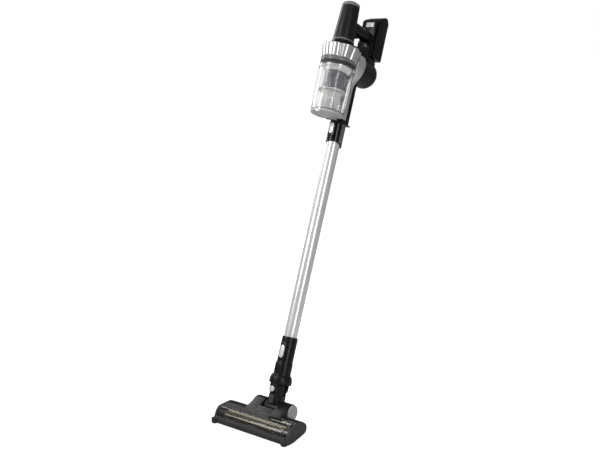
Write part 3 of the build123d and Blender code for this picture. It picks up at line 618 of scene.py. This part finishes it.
def lathe_piece(name, section, look, slot_name, body, node, radius=0.8, steps=112, centre=cup_centre):
    """One turned piece around the cup's line, with its look, its body and the CAD node it stands for."""
    piece = turned(name, section, centre=centre, radius=radius, steps=steps)
    fit(piece, look, slot_name, body, node)


lathe_piece("gasket_ring", [(44.2, 970.2), (50.8, 970.2), (49.6, 973.5), (50.8, 978.8), (44.2, 978.8)],
            rubber,
            "rubber_dark", "cup", "cup_gasket", 0.5)
lathe_piece("clamp_ring", [(44.2, 979.2), (49.0, 979.2), (49.0, 982.6), (50.9, 983.4), (50.9, 985.6),
                           (48.8, 986.6),
                           (48.6, 988.5), (44.2, 988.5)], pale_plastic("clamp_grey", 0.16, 0.26, 0.2),
            "light_grey",
            "cup", "cup_ring", 0.4)
lathe_piece("cone_inside", [(22.2, 952.2), (31.0, 952.2), (33.5, 953.0), (40.0, 960.0), (43.6, 966.5),
                            (43.6, 969.6),
                            (22.2, 969.6)], bright, "silver_paint", "cup", "cyclone_cone", 1.4)
lathe_piece("inner_tube", [(25.2, 838.4), (27.0, 838.4), (27.0, 889.0), (28.5, 894.0), (39.4, 895.4),
                           (40.0, 897.5),
                           (39.4, 900.8), (25.2, 900.8)], pale_plastic("tube_grey", 0.34, 0.46, 0.25),
            "light_grey",
            "cup", "dust_tube", 0.9)


def etched_mesh():
    """Steel mesh: a staggered grid of round holes worked out from the sleeve's own UV map."""
    look = Finish("etched_mesh").set(Metallic=0.8, Roughness=0.42)
    uv = look.tree.nodes.new("ShaderNodeUVMap")
    uv.uv_map = "wrap"
    cells = look.tree.nodes.new("ShaderNodeTexVoronoi")
    cells.inputs["Scale"].default_value = 1.0
    cells.inputs["Randomness"].default_value = 0.0
    look.tree.links.new(uv.outputs["UV"], cells.inputs["Vector"])
    dots = look.spread(cells.outputs["Distance"], 0.0, 1.0, 0.30, 0.40)
    look.feed("Base Color", look.ramp(dots, (0.0, (0.012, 0.012, 0.016)), (1.0, (0.20, 0.195, 0.22))))
    return look.bumped(dots, 0.5, 0.0003).material


def wrap_uv(thing, around, tall):
    """UV map 'wrap': turns round the cup's line times around, and height along the stick times tall."""
    mesh = thing.data
    points = np.empty(len(mesh.vertices) * 3)
    mesh.vertices.foreach_get("co", points)
    local = (points.reshape(-1, 3) - pivot) / MM
    angle = np.arctan2(local @ back - cup_centre, local @ across)
    height = local @ along
    index = np.empty(len(mesh.loops), int)
    mesh.loops.foreach_get("vertex_index", index)
    starts = np.empty(len(mesh.polygons), int)
    totals = np.empty(len(mesh.polygons), int)
    mesh.polygons.foreach_get("loop_start", starts)
    mesh.polygons.foreach_get("loop_total", totals)
    turns = angle[index] / (2 * np.pi)
    first = np.repeat(turns[starts], totals)
    turns = turns + np.round(first - turns)
    layer = mesh.uv_layers.new(name="wrap")
    layer.data.foreach_set("uv", np.stack([turns * around, height[index] * tall], -1).ravel())


shroud = turned("mesh_sleeve", tube_profile(31.0, 29.6, 901.2, 951.8), centre=cup_centre, radius=0.2,
                steps=128)
wrap_uv(shroud, 110.0, 0.56)
fit(shroud, etched_mesh(), "mesh_metal", "cup", "mesh_shroud")

# ---- Cup's bottom lid, hinge, latch and release
# A grey moulded lid swings down on a pin at the back; a clear latch hooks over it in front.
# The black hinge block stays on the cup and holds a small pale release button.

lid_grey = pale_plastic("lid_grey", 0.46, 0.56, 0.4)
lid_radius = 47.3
lid_angle = np.linspace(0, 2 * np.pi, 129)[:-1]
lid_ring = np.stack([lid_radius * np.cos(lid_angle), cup_centre + lid_radius * np.sin(lid_angle)], -1)
lid_ring[:, 1] = np.minimum(lid_ring[:, 1], -30.4)
lid = raised("lid_disc", lid_ring, 829.2, 836.4, round_off=1.6, corner=0.01)
step_ring = (lid_ring - (0.0, cup_centre)) * 0.80 + (0.0, cup_centre)
step = raised("lid_step", step_ring, 828.6, 832.0, round_off=0.5, corner=0.01)
knuckle = turned("lid_knuckle", [(1.05, -12), (2.6, -12), (2.6, 12), (1.05, 12)], centre=(-27.0, 831.0),
                 radius=0.3,
                 steps=32, spin="across")
link = raised("lid_link", rectangle((-12, 12), (-31, -28.2)), 829.2, 832.8, round_off=0.3, corner=0.5)
lid = joined("lid_piece", lid, step, knuckle, link)
fit(lid, lid_grey, "grey_cap", "lid", "cup_lid")
seal_ring = (lid_ring - (0.0, cup_centre)) * (44.4 / lid_radius) + (0.0, cup_centre)
seal = raised("lid_seal", seal_ring, 836.2, 839.6, round_off=0.8, corner=0.01)
fit(seal, rubber, "rubber_dark", "lid")

paint(nodes["hinge_block"], gloss_black)
steel = Finish("turned_steel").set(Metallic=1.0)
steel.feed("Roughness", steel.spread(steel.noise(700.0, 2.0), 0.2, 0.36, 0.3, 0.7))
steel.feed("Base Color", steel.ramp(steel.noise(30.0), (0.3, (0.50, 0.50, 0.51)),
                                    (0.7, (0.62, 0.62, 0.63))))
turned_steel = steel.material
paint(nodes["lid_pin"], turned_steel)

latch_plate = raised("latch_plate", rectangle((-7, 7), (826.4, 849)), -114.3, -111.7, round_off=0.9,
                     corner=2.5,
                     direction="back")
latch_hook = raised("latch_hook", rectangle((-7, 7), (-112.4, -108.5)), 826.4, 828.5, round_off=0.4,
                    corner=0.8)
latch_pin = turned("latch_pin", solid_profile(1.0, -9.6, 9.6), centre=(-113.0, 842.0), radius=0.2, steps=24,
                   spin="across")
latch = joined("latch_piece", latch_plate, latch_hook, latch_pin)
fit(latch, cup_look, "clear_cup", "lid_catch", "lid_latch")

release = raised("release_square", rectangle((-4, 9), (-23.2, -17)), 827.4, 831, round_off=0.5, corner=1.0)
fit(release, pale, "light_grey", "cup_button", "cup_release")

# ---- Crown ring
# A cast, silver-lacquered ring round the top of the cup, flaring upwards, with ten convex lobes to turn
# it by. Flat recesses part the lobes; it closes above in a flat shoulder.

lobe_count = 10
lobe_radius = 16.0
recess_depth = 4.2
lobe_step = 2 * np.pi / lobe_count
lobe_angle = np.linspace(0.0, 2 * np.pi, 481)[:-1]
from_lobe = (lobe_angle + lobe_step / 2) % lobe_step - lobe_step / 2


def crown_radius(level):
    """Outer radius of the crown's lobes at a level along the stick."""
    return 51.6 + 6.4 * (level - 989.0) / 37.0


def lobed(level, inset):
    """One level of the crown: convex lobes with a flat recess floor between them."""
    outer = crown_radius(level) - inset
    centre = outer - lobe_radius
    lobe = centre * np.cos(from_lobe) + np.sqrt(lobe_radius ** 2 - (centre * np.sin(from_lobe)) ** 2)
    reach = np.maximum(lobe, outer - recess_depth)
    return np.stack([reach * np.cos(lobe_angle), cup_centre + reach * np.sin(lobe_angle),
                     np.full(len(lobe_angle), level)], -1)


def plain(radius, level):
    """One round level inside the crown."""
    return np.stack([radius * np.cos(lobe_angle), cup_centre + radius * np.sin(lobe_angle),
                     np.full(len(lobe_angle), level)], -1)


crown_rings = [plain(44.4, 989.3), lobed(989.3, 1.2), lobed(989.7, 0.5), lobed(990.6, 0.0)]
crown_rings += [lobed(level, 0.0) for level in np.linspace(994.0, 1021.0, 8)]
crown_rings += [lobed(1024.6, 0.0), lobed(1025.6, 0.4), lobed(1026.0, 1.2), plain(38.0, 1026.0),
                plain(13.0, 1026.0),
                plain(13.0, 1022.6), plain(44.4, 1022.6), plain(44.4, 989.3)]
crown = skin("crown_lobes", np.array(crown_rings), on_stick, caps=False)
fit(crown, silver, "silver_paint", "main_unit", "crown_ring")

# ---- Silver front frame
# One lacquered moulding: the front of the air duct below, swelling into a round shoulder behind the cup.
# Its front follows the cup's ring and the crown, and all its outer edges are well rounded.

levels = np.linspace(836.2, 1026.0, 96)
half_width = np.interp(levels, [836, 926, 936, 945, 957, 969, 984, 999, 1014, 1026],
                       [18.6, 18.8, 19.6, 22.5, 29.5, 38.4, 44.6, 46.8, 44.3, 38.4])
half_width[3:-3] = np.convolve(half_width, np.ones(7) / 7, "valid")
horn = np.clip((levels - 958.0) / 30.0, 0.0, 1.0)
front_limit = -10.9 - 24.0 * horn * horn * (3 - 2 * horn)
ring_radius = np.where(levels < 988.9, 51.4, crown_radius(levels) + 0.4)
frame_rings = []
for level, half, limit, cup_radius in zip(levels, half_width, front_limit, ring_radius):
    run = half * np.sin(np.linspace(np.pi / 2, -np.pi / 2, 25))
    hollow = cup_centre + np.sqrt(np.maximum(cup_radius ** 2 - run ** 2, 0.0))
    face = np.maximum(hollow, limit)
    crease = 5.0 * np.clip(1.0 - (half - np.abs(run)) / 5.0, 0.0, 1.0) ** 2
    outline = np.concatenate([[(-half, 8.9)], [(half, 8.9)], np.stack([run, face + crease], -1)])
    ring = softened(outline, 1.2, steps=3)
    frame_rings.append(np.concatenate([ring, np.full((len(ring), 1), level)], 1))
front = skin("frame_shell", np.array(frame_rings), on_stick)
fit(front, silver, "silver_paint", "main_unit", "front_frame")

duct_outline = [(-18.8, 9.2), (18.8, 9.2), (18.8, 25.0), (11.0, 36.8), (-11.0, 36.8), (-18.8, 25.0)]
duct_back = raised("duct_back_strip", duct_outline, 828.0, 966.0, round_off=0.8, corner=2.5)
fit(duct_back, gloss_black, "black_gloss", "main_unit", "duct_rear")
paint(nodes["inlet_spigot"], satin_black)

# ---- Motor drum and exhaust
# A satin black drum lying front to back behind the frame, with a soft bevel at its front and a round
# heel; a slotted grille closes it. The fan, the motor and its rubber ring are inside.

drum_section = [(37.6, 9.4), (39.0, 9.4), (39.9, 11.0), (39.9, 15.0), (39.4, 15.6), (39.4, 16.4),
                (39.9, 17.0),
                (39.9, 80.0), (38.6, 86.5), (35.0, 92.5), (29.0, 96.8), (22.0, 98.0), (20.3, 98.0),
                (20.3, 94.0),
                (28.0, 93.0), (34.0, 88.0), (37.0, 80.0), (37.6, 60.0)]
drum = turned("drum_shell", drum_section, centre=999.0, radius=0.9, steps=128, spin="back")
fit(drum, moulded_black("drum_black", 0.30, 0.35, 0.010), "black_satin", "main_unit", "motor_housing")
paint(nodes["exhaust_grille"], satin_black)
paint(nodes["suction_motor"], turned_steel)
paint(nodes["motor_mount"], rubber)
paint(nodes["impeller"], satin_black)

# ---- Filter tower
# A gloss black tapered tube on a black collar and a pale ring; a pale domed cap closes it.
# The pleated filter hangs from the cap inside, out of sight.


def main_piece(name, section, look, slot_name, node, body="main_unit", radius=0.8):
    """One turned piece of the tower, on the main unit unless another body is given."""
    lathe_piece(name, section, look, slot_name, body, node, radius)


main_piece("tower_foot", [(20.2, 1026.2), (34.0, 1026.2), (33.8, 1034.0), (32.4, 1044.8), (20.2, 1044.8)],
           gloss_black, "black_gloss", "tower_collar")
main_piece("tower_pale_ring", [(20.2, 1045.1), (32.0, 1045.1), (31.9, 1048.0), (30.9, 1050.9),
                               (20.2, 1050.9)],
           pale_plastic("ring_grey", 0.09, 0.16, 0.25), "light_grey", "tower_ring")
main_piece("tower_tube", [(21.6, 1051.1), (30.5, 1051.1), (26.0, 1150.0), (25.7, 1151.0), (21.6, 1151.0)],
           satin_black, "black_gloss", "filter_tower", radius=0.5)
dome_radius = 38.8
cap_top_t = 1168.0
dome_turn = np.linspace(math.asin(25.6 / dome_radius), 0.0, 14)
cap_section = [(0.001, 1143.2), (21.0, 1143.2), (21.0, 1151.3), (25.8, 1151.4), (25.9, 1154.0)]
cap_section += [(max(dome_radius * math.sin(turn), 0.001), cap_top_t - dome_radius * (1.0 - math.cos(turn)))
                for turn in dome_turn]
main_piece("tower_cap", cap_section, pale_plastic("cap_grey", 0.16, 0.24, 0.3), "grey_cap", "filter_cap",
           "filter_pack", 0.3)
pleats = Finish("filter_pleats")
pleats.feed("Base Color", pleats.ramp(pleats.noise(700.0, 4.0), (0.3, (0.70, 0.70, 0.67)),
                                      (0.7, (0.84, 0.84, 0.81))))
pleats.feed("Roughness", pleats.spread(pleats.noise(90.0), 0.75, 0.95))
pleats.bumped(pleats.noise(1900.0, 2.0), 0.5, 0.0002)
paint(nodes["hepa_filter"], pleats.material)

# ---- Handle and trigger
# Two black clamshells screwed together: a sloping deck with grip ribs, a post behind and a round grip
# that runs from the tower to the battery dock, where a collar rings its end. The trigger is below.

deck_outline = [(-31.0, 1029.0), (-33.0, 1034.0), (-33.0, 1048.0), (-4.0, 1052.0), (24.0, 1066.0),
                (46.4, 1074.0),
                (46.4, 1050.4), (86.0, 1049.4), (92.5, 1034.0), (84.0, 1016.0), (60.0, 1030.0),
                (30.0, 1040.0)]
deck = raised("deck", deck_outline, -21.9, 21.9, round_off=2.2, corner=2.5, direction="across")
saddle = [(-12.0, 1028.0), (-12.0, 1049.0), (24.0, 1064.0), (44.0, 1071.0), (88.0, 1047.0), (91.0, 1032.0),
          (84.0, 1014.5), (40.0, 1014.5), (9.4, 1028.0)]
cheek = raised("deck_saddle", saddle, -20.0, 20.0, round_off=2.0, corner=3.0, direction="across")
grip_t = 1105.0
grip_section = [(0.001, -38.0), (14.0, -38.0), (16.4, -34.0), (16.9, -20.0), (17.4, 4.0), (16.6, 26.0),
                (17.0, 40.0),
                (17.4, 46.6), (0.001, 46.6)]
grip = turned("grip", grip_section, centre=grip_t, radius=2.0, steps=96, spin="back")
column = raised("column", rectangle((-15.5, 15.5), (1060.0, 1108.0)), 37.0, 46.7, round_off=1.5, corner=3.0,
                direction="back")
foot_plate = raised("foot_plate", rectangle((-21.6, 21.6), (1060.0, 1092.0)), 40.0, 46.7, round_off=1.5,
                    corner=4.0,
                    direction="back")
collar_rim = turned("grip_collar", [(16.8, 43.6), (20.4, 43.6), (21.6, 46.8), (16.8, 46.8)], centre=grip_t,
                    radius=0.9, steps=80, spin="back")
ribs = []
for index in range(6):
    at = 26.0 + 3.4 * index
    low = 1066.0 + (at - 24.0) * 0.36
    ribs.append(raised(f"deck_rib_{index}", [(at - 0.8, low - 3.0), (at - 0.8, low + 0.9),
                                             (at + 0.8, low + 1.5),
                                             (at + 0.8, low - 3.0)], -15.0, 15.0, round_off=0.3, corner=0.3,
                       direction="across"))
handle = joined("handle_shells", deck, cheek, grip, column, foot_plate, collar_rim, *ribs)
fit(handle, gloss_black, "black_gloss", "main_unit", "handle_left", "handle_right")

trigger_outline = [(-25.8, 1095.5), (-25.8, 1084.0), (-21.0, 1079.2), (-12.0, 1081.5), (-5.0, 1079.2),
                   (-0.2, 1083.0),
                   (-0.2, 1095.5)]
trigger = raised("trigger_blade", trigger_outline, -4.9, 4.9, round_off=1.2, corner=2.0, direction="across")
fit(trigger, satin_black, "black_satin", "trigger", "trigger")

# ---- Battery pack, dock and status panel
# A gloss black pack with a chamfered top edge and a raised rail, slid up onto a black dock plate.
# A plain pale panel sits at the top of the dock; the pack's release is a pale tab under its rear edge.

dock = raised("dock_plate", rectangle((-24.0, 24.0), (1050.2, 1160.0)), 47.0, 57.9, round_off=1.4,
              corner=4.0,
              direction="back")
fit(dock, gloss_black, "black_gloss", "main_unit", "battery_dock")
brass = Finish("brass_blades").set(Metallic=1.0)
brass.feed("Base Color", brass.ramp(brass.noise(60.0), (0.3, (0.62, 0.45, 0.20)),
                                    (0.7, (0.75, 0.56, 0.27))))
brass.feed("Roughness", brass.spread(brass.noise(800.0), 0.22, 0.4))
paint(nodes["dock_contacts"], brass.material)

panel = raised("panel_face", rectangle((-9.0, 17.0), (1138.0, 1152.0)), 45.4, 47.0, round_off=0.4,
               corner=1.0,
               direction="back")
fit(panel, pale_plastic("panel_pale", 0.48, 0.66, 0.18), "light_grey", "main_unit", "status_panel")

pack_outline = [(58.4, 1050.4), (58.4, 1166.0), (62.0, 1169.0), (88.0, 1183.8), (98.5, 1183.8),
                (107.8, 1171.5),
                (107.8, 1050.4)]
pack_box = raised("pack_box", pack_outline, -27.9, 27.9, round_off=2.2, corner=2.0, direction="across")
rails = []
for side in (-1, 1):
    rails.append(raised(f"pack_rail_{side}", [(59.0, 1058.0), (59.0, 1160.0), (62.6, 1162.0),
                                              (62.6, 1058.0)],
                        *sorted((side * 26.4, side * 28.0)), round_off=0.5, corner=0.6, direction="across"))
pack = joined("pack_shell", pack_box, *rails)
fit(pack, gloss_black, "black_gloss", "battery", "battery_case")

cell_wrap = Finish("cell_wrap")
cell_wrap.feed("Base Color", cell_wrap.ramp(cell_wrap.noise(35.0), (0.3, (0.03, 0.16, 0.24)),
                                            (0.7, (0.05, 0.22, 0.31))))
cell_wrap.feed("Roughness", cell_wrap.spread(cell_wrap.noise(400.0), 0.3, 0.5))
paint(nodes["battery_cells"], cell_wrap.material)
tab = raised("pack_release_tab", rectangle((-9.0, 9.0), (101.6, 108.0)), 1051.0, 1055.5, round_off=0.6,
             corner=1.2)
fit(tab, pale, "light_grey", "battery_latch", "battery_release")

# ---- Floor head: housing with the pods
# Satin black ABS: a long low housing, and over its middle a smooth saddle that sweeps up on to two
# round pods. The neck turns between them, in a notch; flat speckled discs close the pods.

head_black = moulded_black("head_black", 0.27, 0.22, 0.012)
inner_half = 121.1
shell_outline = [(-56.8, 41.6), (-56.8, 44.0), (-40.0, 44.0), (-28.0, 39.0), (-24.0, 30.0), (-24.0, 17.2),
                 (-32.0, 10.2),
                 (-44.0, 8.2), (-56.8, 4.0), (-56.8, 6.6), (-44.0, 10.8), (-33.0, 12.8), (-26.6, 18.6),
                 (-26.6, 29.0),
                 (-30.0, 36.8), (-41.0, 41.6)]
housing_grid = []
shell_line = softened(shell_outline, 1.6, steps=3)
for x in (-inner_half, inner_half):
    housing_grid.append(np.concatenate([np.full((len(shell_line), 1), x), shell_line], 1))
parts = [skin("housing", np.array(housing_grid), on_floor)]
pod_turn = np.radians(np.linspace(114.0, -122.0, 40))
pod_line = [(-57.0, 36.0), (-56.6, 43.0), (-52.0, 44.6)]
pod_line += [tuple(point) for point in np.stack([24.0 * np.cos(pod_turn), 38.0 + 24.0 * np.sin(pod_turn)],
                                                -1)]
pod_line += [(-26.0, 22.0), (-45.0, 30.0)]
for side in (-1, 1):
    parts.append(raised(f"pod_{side}", pod_line, *sorted((side * 25.3, side * 61.0)), place=on_floor,
                        round_off=2.4,
                        corner=0.8, direction="across"))
bridge_line = [(-57.0, 36.0), (-56.6, 43.0), (-52.0, 44.6), (-33.0, 51.6), (-30.0, 50.0), (-29.0, 40.0),
               (-29.0, 30.0)]
parts.append(raised("bridge", bridge_line, -27.5, 27.5, place=on_floor, round_off=0.2, corner=1.2,
                    direction="across"))
for side in (-1, 1):
    for offset in (-9, 9):
        middle = side * 44.0 + offset
        parts.append(raised(f"fork_{side}_{offset}", [(-19.0, 4.6), (-9.0, 4.6), (-8.0, 26.0),
                                                      (-20.0, 26.0)],
                            middle - 1.8, middle + 1.8, place=on_floor, round_off=0.4, corner=1.5,
                            direction="across"))
housing = joined("head_housing", *parts)
fit(housing, head_black, "black_satin", "floor_head", "head_shell")

disc_look = Finish("speckled_disc")
grains = disc_look.noise(1100.0, 3.0)
disc_look.feed("Base Color", disc_look.ramp(grains, (0.36, (0.26, 0.26, 0.26)), (0.60, (0.62, 0.62, 0.61))))
disc_look.feed("Roughness", disc_look.spread(disc_look.noise(60.0), 0.4, 0.6)).bumped(grains, 0.25, 0.0001)
discs = []
for side in (-1, 1):
    disc_section = [(0.001, side * 61.1), (22.4, side * 61.1), (22.4, side * 62.8), (21.2, side * 64.1),
                    (19.4, side * 64.1), (19.0, side * 63.6), (0.001, side * 63.6)]
    discs.append(turned(f"disc_{side}", disc_section, centre=(0.0, 38.0), radius=0.5, steps=96,
                        place=on_floor,
                        spin="across"))
hubs = joined("hub_disc_pair", *discs)
fit(hubs, disc_look.material, "light_grey", "floor_head", "hub_discs")

# ---- Floor head: smoked window
# A bent sheet of smoked clear plastic over the brush, 2 mm thick, from the bumper to the housing.

smoked = Finish("smoked_clear").set(IOR=1.34, Transmission_Weight=1.0, Specular_IOR_Level=0.4)
haze = smoked.noise(45.0, 5.0)
smoked.feed("Base Color", smoked.ramp(haze, (0.3, (0.60, 0.59, 0.56)), (0.7, (0.70, 0.69, 0.66))))
smoked.feed("Roughness", smoked.spread(haze, 0.08, 0.15, 0.4, 0.8))
window_out = [(-57.2, 44.0), (-89.0, 44.0), (-99.0, 35.0), (-105.8, 22.3)]
window_in = [(-103.4, 22.3), (-97.2, 34.1), (-88.2, 42.0), (-57.2, 42.0)]
glass_line = np.concatenate([softened(window_out, 6.5, closed=False, steps=8),
                             softened(window_in, 5.0, closed=False, steps=8)])
glass_grid = [np.concatenate([np.full((len(glass_line), 1), x), glass_line], 1)
              for x in np.linspace(-inner_half, inner_half, 9)]
glass = skin("window_sheet", np.array(glass_grid), on_floor)
fit(glass, smoked.material, "smoked_clear", "floor_head", "brush_window")

# ---- Floor head: bumper
# Moulded dark rubber along the nose, a long shallow recess in its middle with a raised rim, and a
# round bulge at each corner. It is pressed over the housing's lip.

bumper_x = np.concatenate([np.linspace(-inner_half, -98.0, 24), np.linspace(-97.0, 97.0, 120),
                           np.linspace(98.0, inner_half, 24)])
bumper_line = softened([(-106.5, 3.3), (-112.6, 3.3), (-114.9, 6.0), (-114.9, 12.5), (-113.4, 16.8),
                        (-108.8, 21.4),
                        (-103.5, 21.4)], 1.6, steps=4)
bumper_grid = np.stack([np.broadcast_to(bumper_x[:, None], (len(bumper_x), len(bumper_line))),
                        np.broadcast_to(bumper_line[None, :, 0], (len(bumper_x), len(bumper_line))),
                        np.broadcast_to(bumper_line[None, :, 1], (len(bumper_x), len(bumper_line)))], -1)
bumper_parts = [skin("bumper_bar", bumper_grid, on_floor)]
bulge_turn = np.linspace(np.pi, 2 * np.pi, 33)
for side in (-1, 1):
    round_end = np.stack([side * 121.0 + 9.4 * np.cos(bulge_turn), -113.5 + 9.4 * np.sin(bulge_turn)], -1)
    round_end = np.concatenate([round_end, [(side * 121.0 + 9.4, -110.7), (side * 121.0 - 9.4, -110.7)]])
    bumper_parts.append(raised(f"bulge_{side}", round_end, 3.6, 18.4, place=on_floor, round_off=2.6,
                               corner=0.4))
rim_turn = np.linspace(0, 2 * np.pi, 81)[:-1]
slot_shape = superellipse(52.0, 3.4, 7.0, rim_turn)
rim_rings = []
for inset, lift in ((-0.9, 0.0), (-0.7, -0.9), (0.1, -1.0), (0.4, -0.3), (0.5, 0.6)):
    shrink = (np.array([52.0 - inset, 3.4 - inset]) / np.array([52.0, 3.4]))[None, :]
    ring = slot_shape * shrink
    rim_rings.append(np.stack([ring[:, 0], np.full(80, -114.0 + lift), 9.2 + ring[:, 1]], -1))
bumper_parts.append(skin("bumper_rim", np.array(rim_rings), on_floor, caps=False))
bumper = joined("bumper_piece", *bumper_parts)
bumper_look = moulded_black("bumper_rubber", 0.5, 0.5, 0.030)
fit(bumper, bumper_look, "rubber_dark", "floor_head", "front_bumper")

# ---- Floor head: end caps
# Two grained grey-black caps close the brush chamber. A bright bevel runs along each cap's top edge.

cap_outline = [(-108.0, 2.5), (-110.0, 14.0), (-100.0, 35.0), (-90.0, 44.0), (-40.0, 44.0), (-29.0, 38.0),
               (-24.0, 30.0), (-24.0, 18.0), (-32.0, 10.5), (-48.0, 7.5), (-84.0, 1.5)]
cap_look = moulded_black("cap_grain", 0.42, 0.75, 0.045)
for side, word in ((-1, "left"), (1, "right")):
    cap_line = softened(cap_outline, 5.0, steps=5)
    middle = cap_line.mean(0)
    rings = []
    for inset, reach_x in ((0.6, 121.5), (0.0, 122.1), (0.0, 127.9), (0.5, 128.7), (2.6, 130.1),
                           (3.4, 130.5)):
        away = np.linalg.norm(cap_line - middle, axis=1)[:, None]
        line = middle + (cap_line - middle) * (1.0 - inset / away)
        rings.append(np.concatenate([np.full((len(line), 1), side * reach_x), line], 1))
    cap_shape = skin(f"cap_body_{word}", np.array(rings), on_floor)
    boss = turned(f"cap_boss_{word}", solid_profile(9.0, *sorted((side * 119.6, side * 122.6))),
                  centre=(-79.0, 18.0),
                  radius=0.4, steps=48, place=on_floor, spin="across")
    cap = joined(f"side_cap_{word}", cap_shape, boss)
    fit(cap, cap_look, "grey_cap", "floor_head", f"end_cap_{word}")

# ---- Brush roll and its drive
# A dark moulded roller with six rows of stiff beige bristles set in straight lines, turning on ball
# bearings; a belt from the small motor behind drives its pulley.

bristle_look = Finish("bristle_rows")
strand = bristle_look.noise(1.0, 2.0, bristle_look.mapped((1400.0, 60.0, 60.0)))
cloudy = bristle_look.noise(22.0, 3.0)
mixed = bristle_look.ramp(strand, (0.25, (0.34, 0.28, 0.17)), (0.62, (0.85, 0.78, 0.60)))
bristle_look.feed("Base Color", mixed)
bristle_look.feed("Roughness", bristle_look.spread(cloudy, 0.45, 0.7)).bumped(strand, 0.6, 0.0003)
tuft_x = np.linspace(-99.0, 91.0, 120)
row_turn = np.radians(60.0 * np.arange(6))
spot_x, spot_turn = [value.ravel() for value in np.meshgrid(tuft_x, row_turn, indexing="ij")]
generator = np.random.default_rng(7)
splay = generator.uniform(-0.4, 0.4, spot_x.shape)
tip = 17.5 - generator.uniform(0.0, 0.7, spot_x.shape)
corners = []
for radius, wide in ((12.05, 0.62), (None, 0.86)):
    reach_r = np.full(spot_x.shape, radius) if radius else tip
    for step_x, step_w in ((-1, -1), (1, -1), (1, 1), (-1, 1)):
        side_step = step_w * 1.45 * wide / 0.86
        x = spot_x + step_x * wide + (splay if radius is None else 0.0)
        y = -np.sin(spot_turn) * reach_r + np.cos(spot_turn) * side_step
        z = np.cos(spot_turn) * reach_r + np.sin(spot_turn) * side_step
        corners.append(np.stack([x, -79.0 + y, 18.0 + z], -1))
tuft_points = np.stack(corners, 1).reshape(-1, 3)
first = 8 * np.arange(len(spot_x))[:, None, None]
tuft_faces = first + np.array([[0, 1, 5, 4], [1, 2, 6, 5], [2, 3, 7, 6], [3, 0, 4, 7], [4, 5, 6, 7],
                               [3, 2, 1, 0]])
tuft_mesh = bpy.data.meshes.new("bristles")
tuft_mesh.from_pydata(on_floor(tuft_points).tolist(), [], tuft_faces.reshape(-1, 4).tolist())
tufts = finish_mesh("bristle_lines", tuft_mesh, smooth=False)
fit(tufts, bristle_look.material, "bristle", "brush_roll", "brush_tufts")

roller_look = moulded_black("roller_brown", 0.4, 0.3, 0.05)
paint(nodes["brush_core"], roller_look)
paint(nodes["brush_bearings"], turned_steel)
paint(nodes["brush_motor"], turned_steel)
paint(nodes["motor_pulley"], brass.material)
paint(nodes["drive_belt"], rubber)
paint(nodes["air_duct"], satin_black)
paint(nodes["pitch_stubs"], turned_steel)

# ---- Sole plate, screws and rear wheels
# A thin grained plate closes the head's underside and carries it on the floor, held by four screws.
# Two small soft-tyred rollers sit under the pods.

paint(nodes["sole_plate"], cap_look)
paint(nodes["sole_screws"], turned_steel)
for word in ("left", "right"):
    paint(nodes[f"rear_wheel_{word}"], rubber)
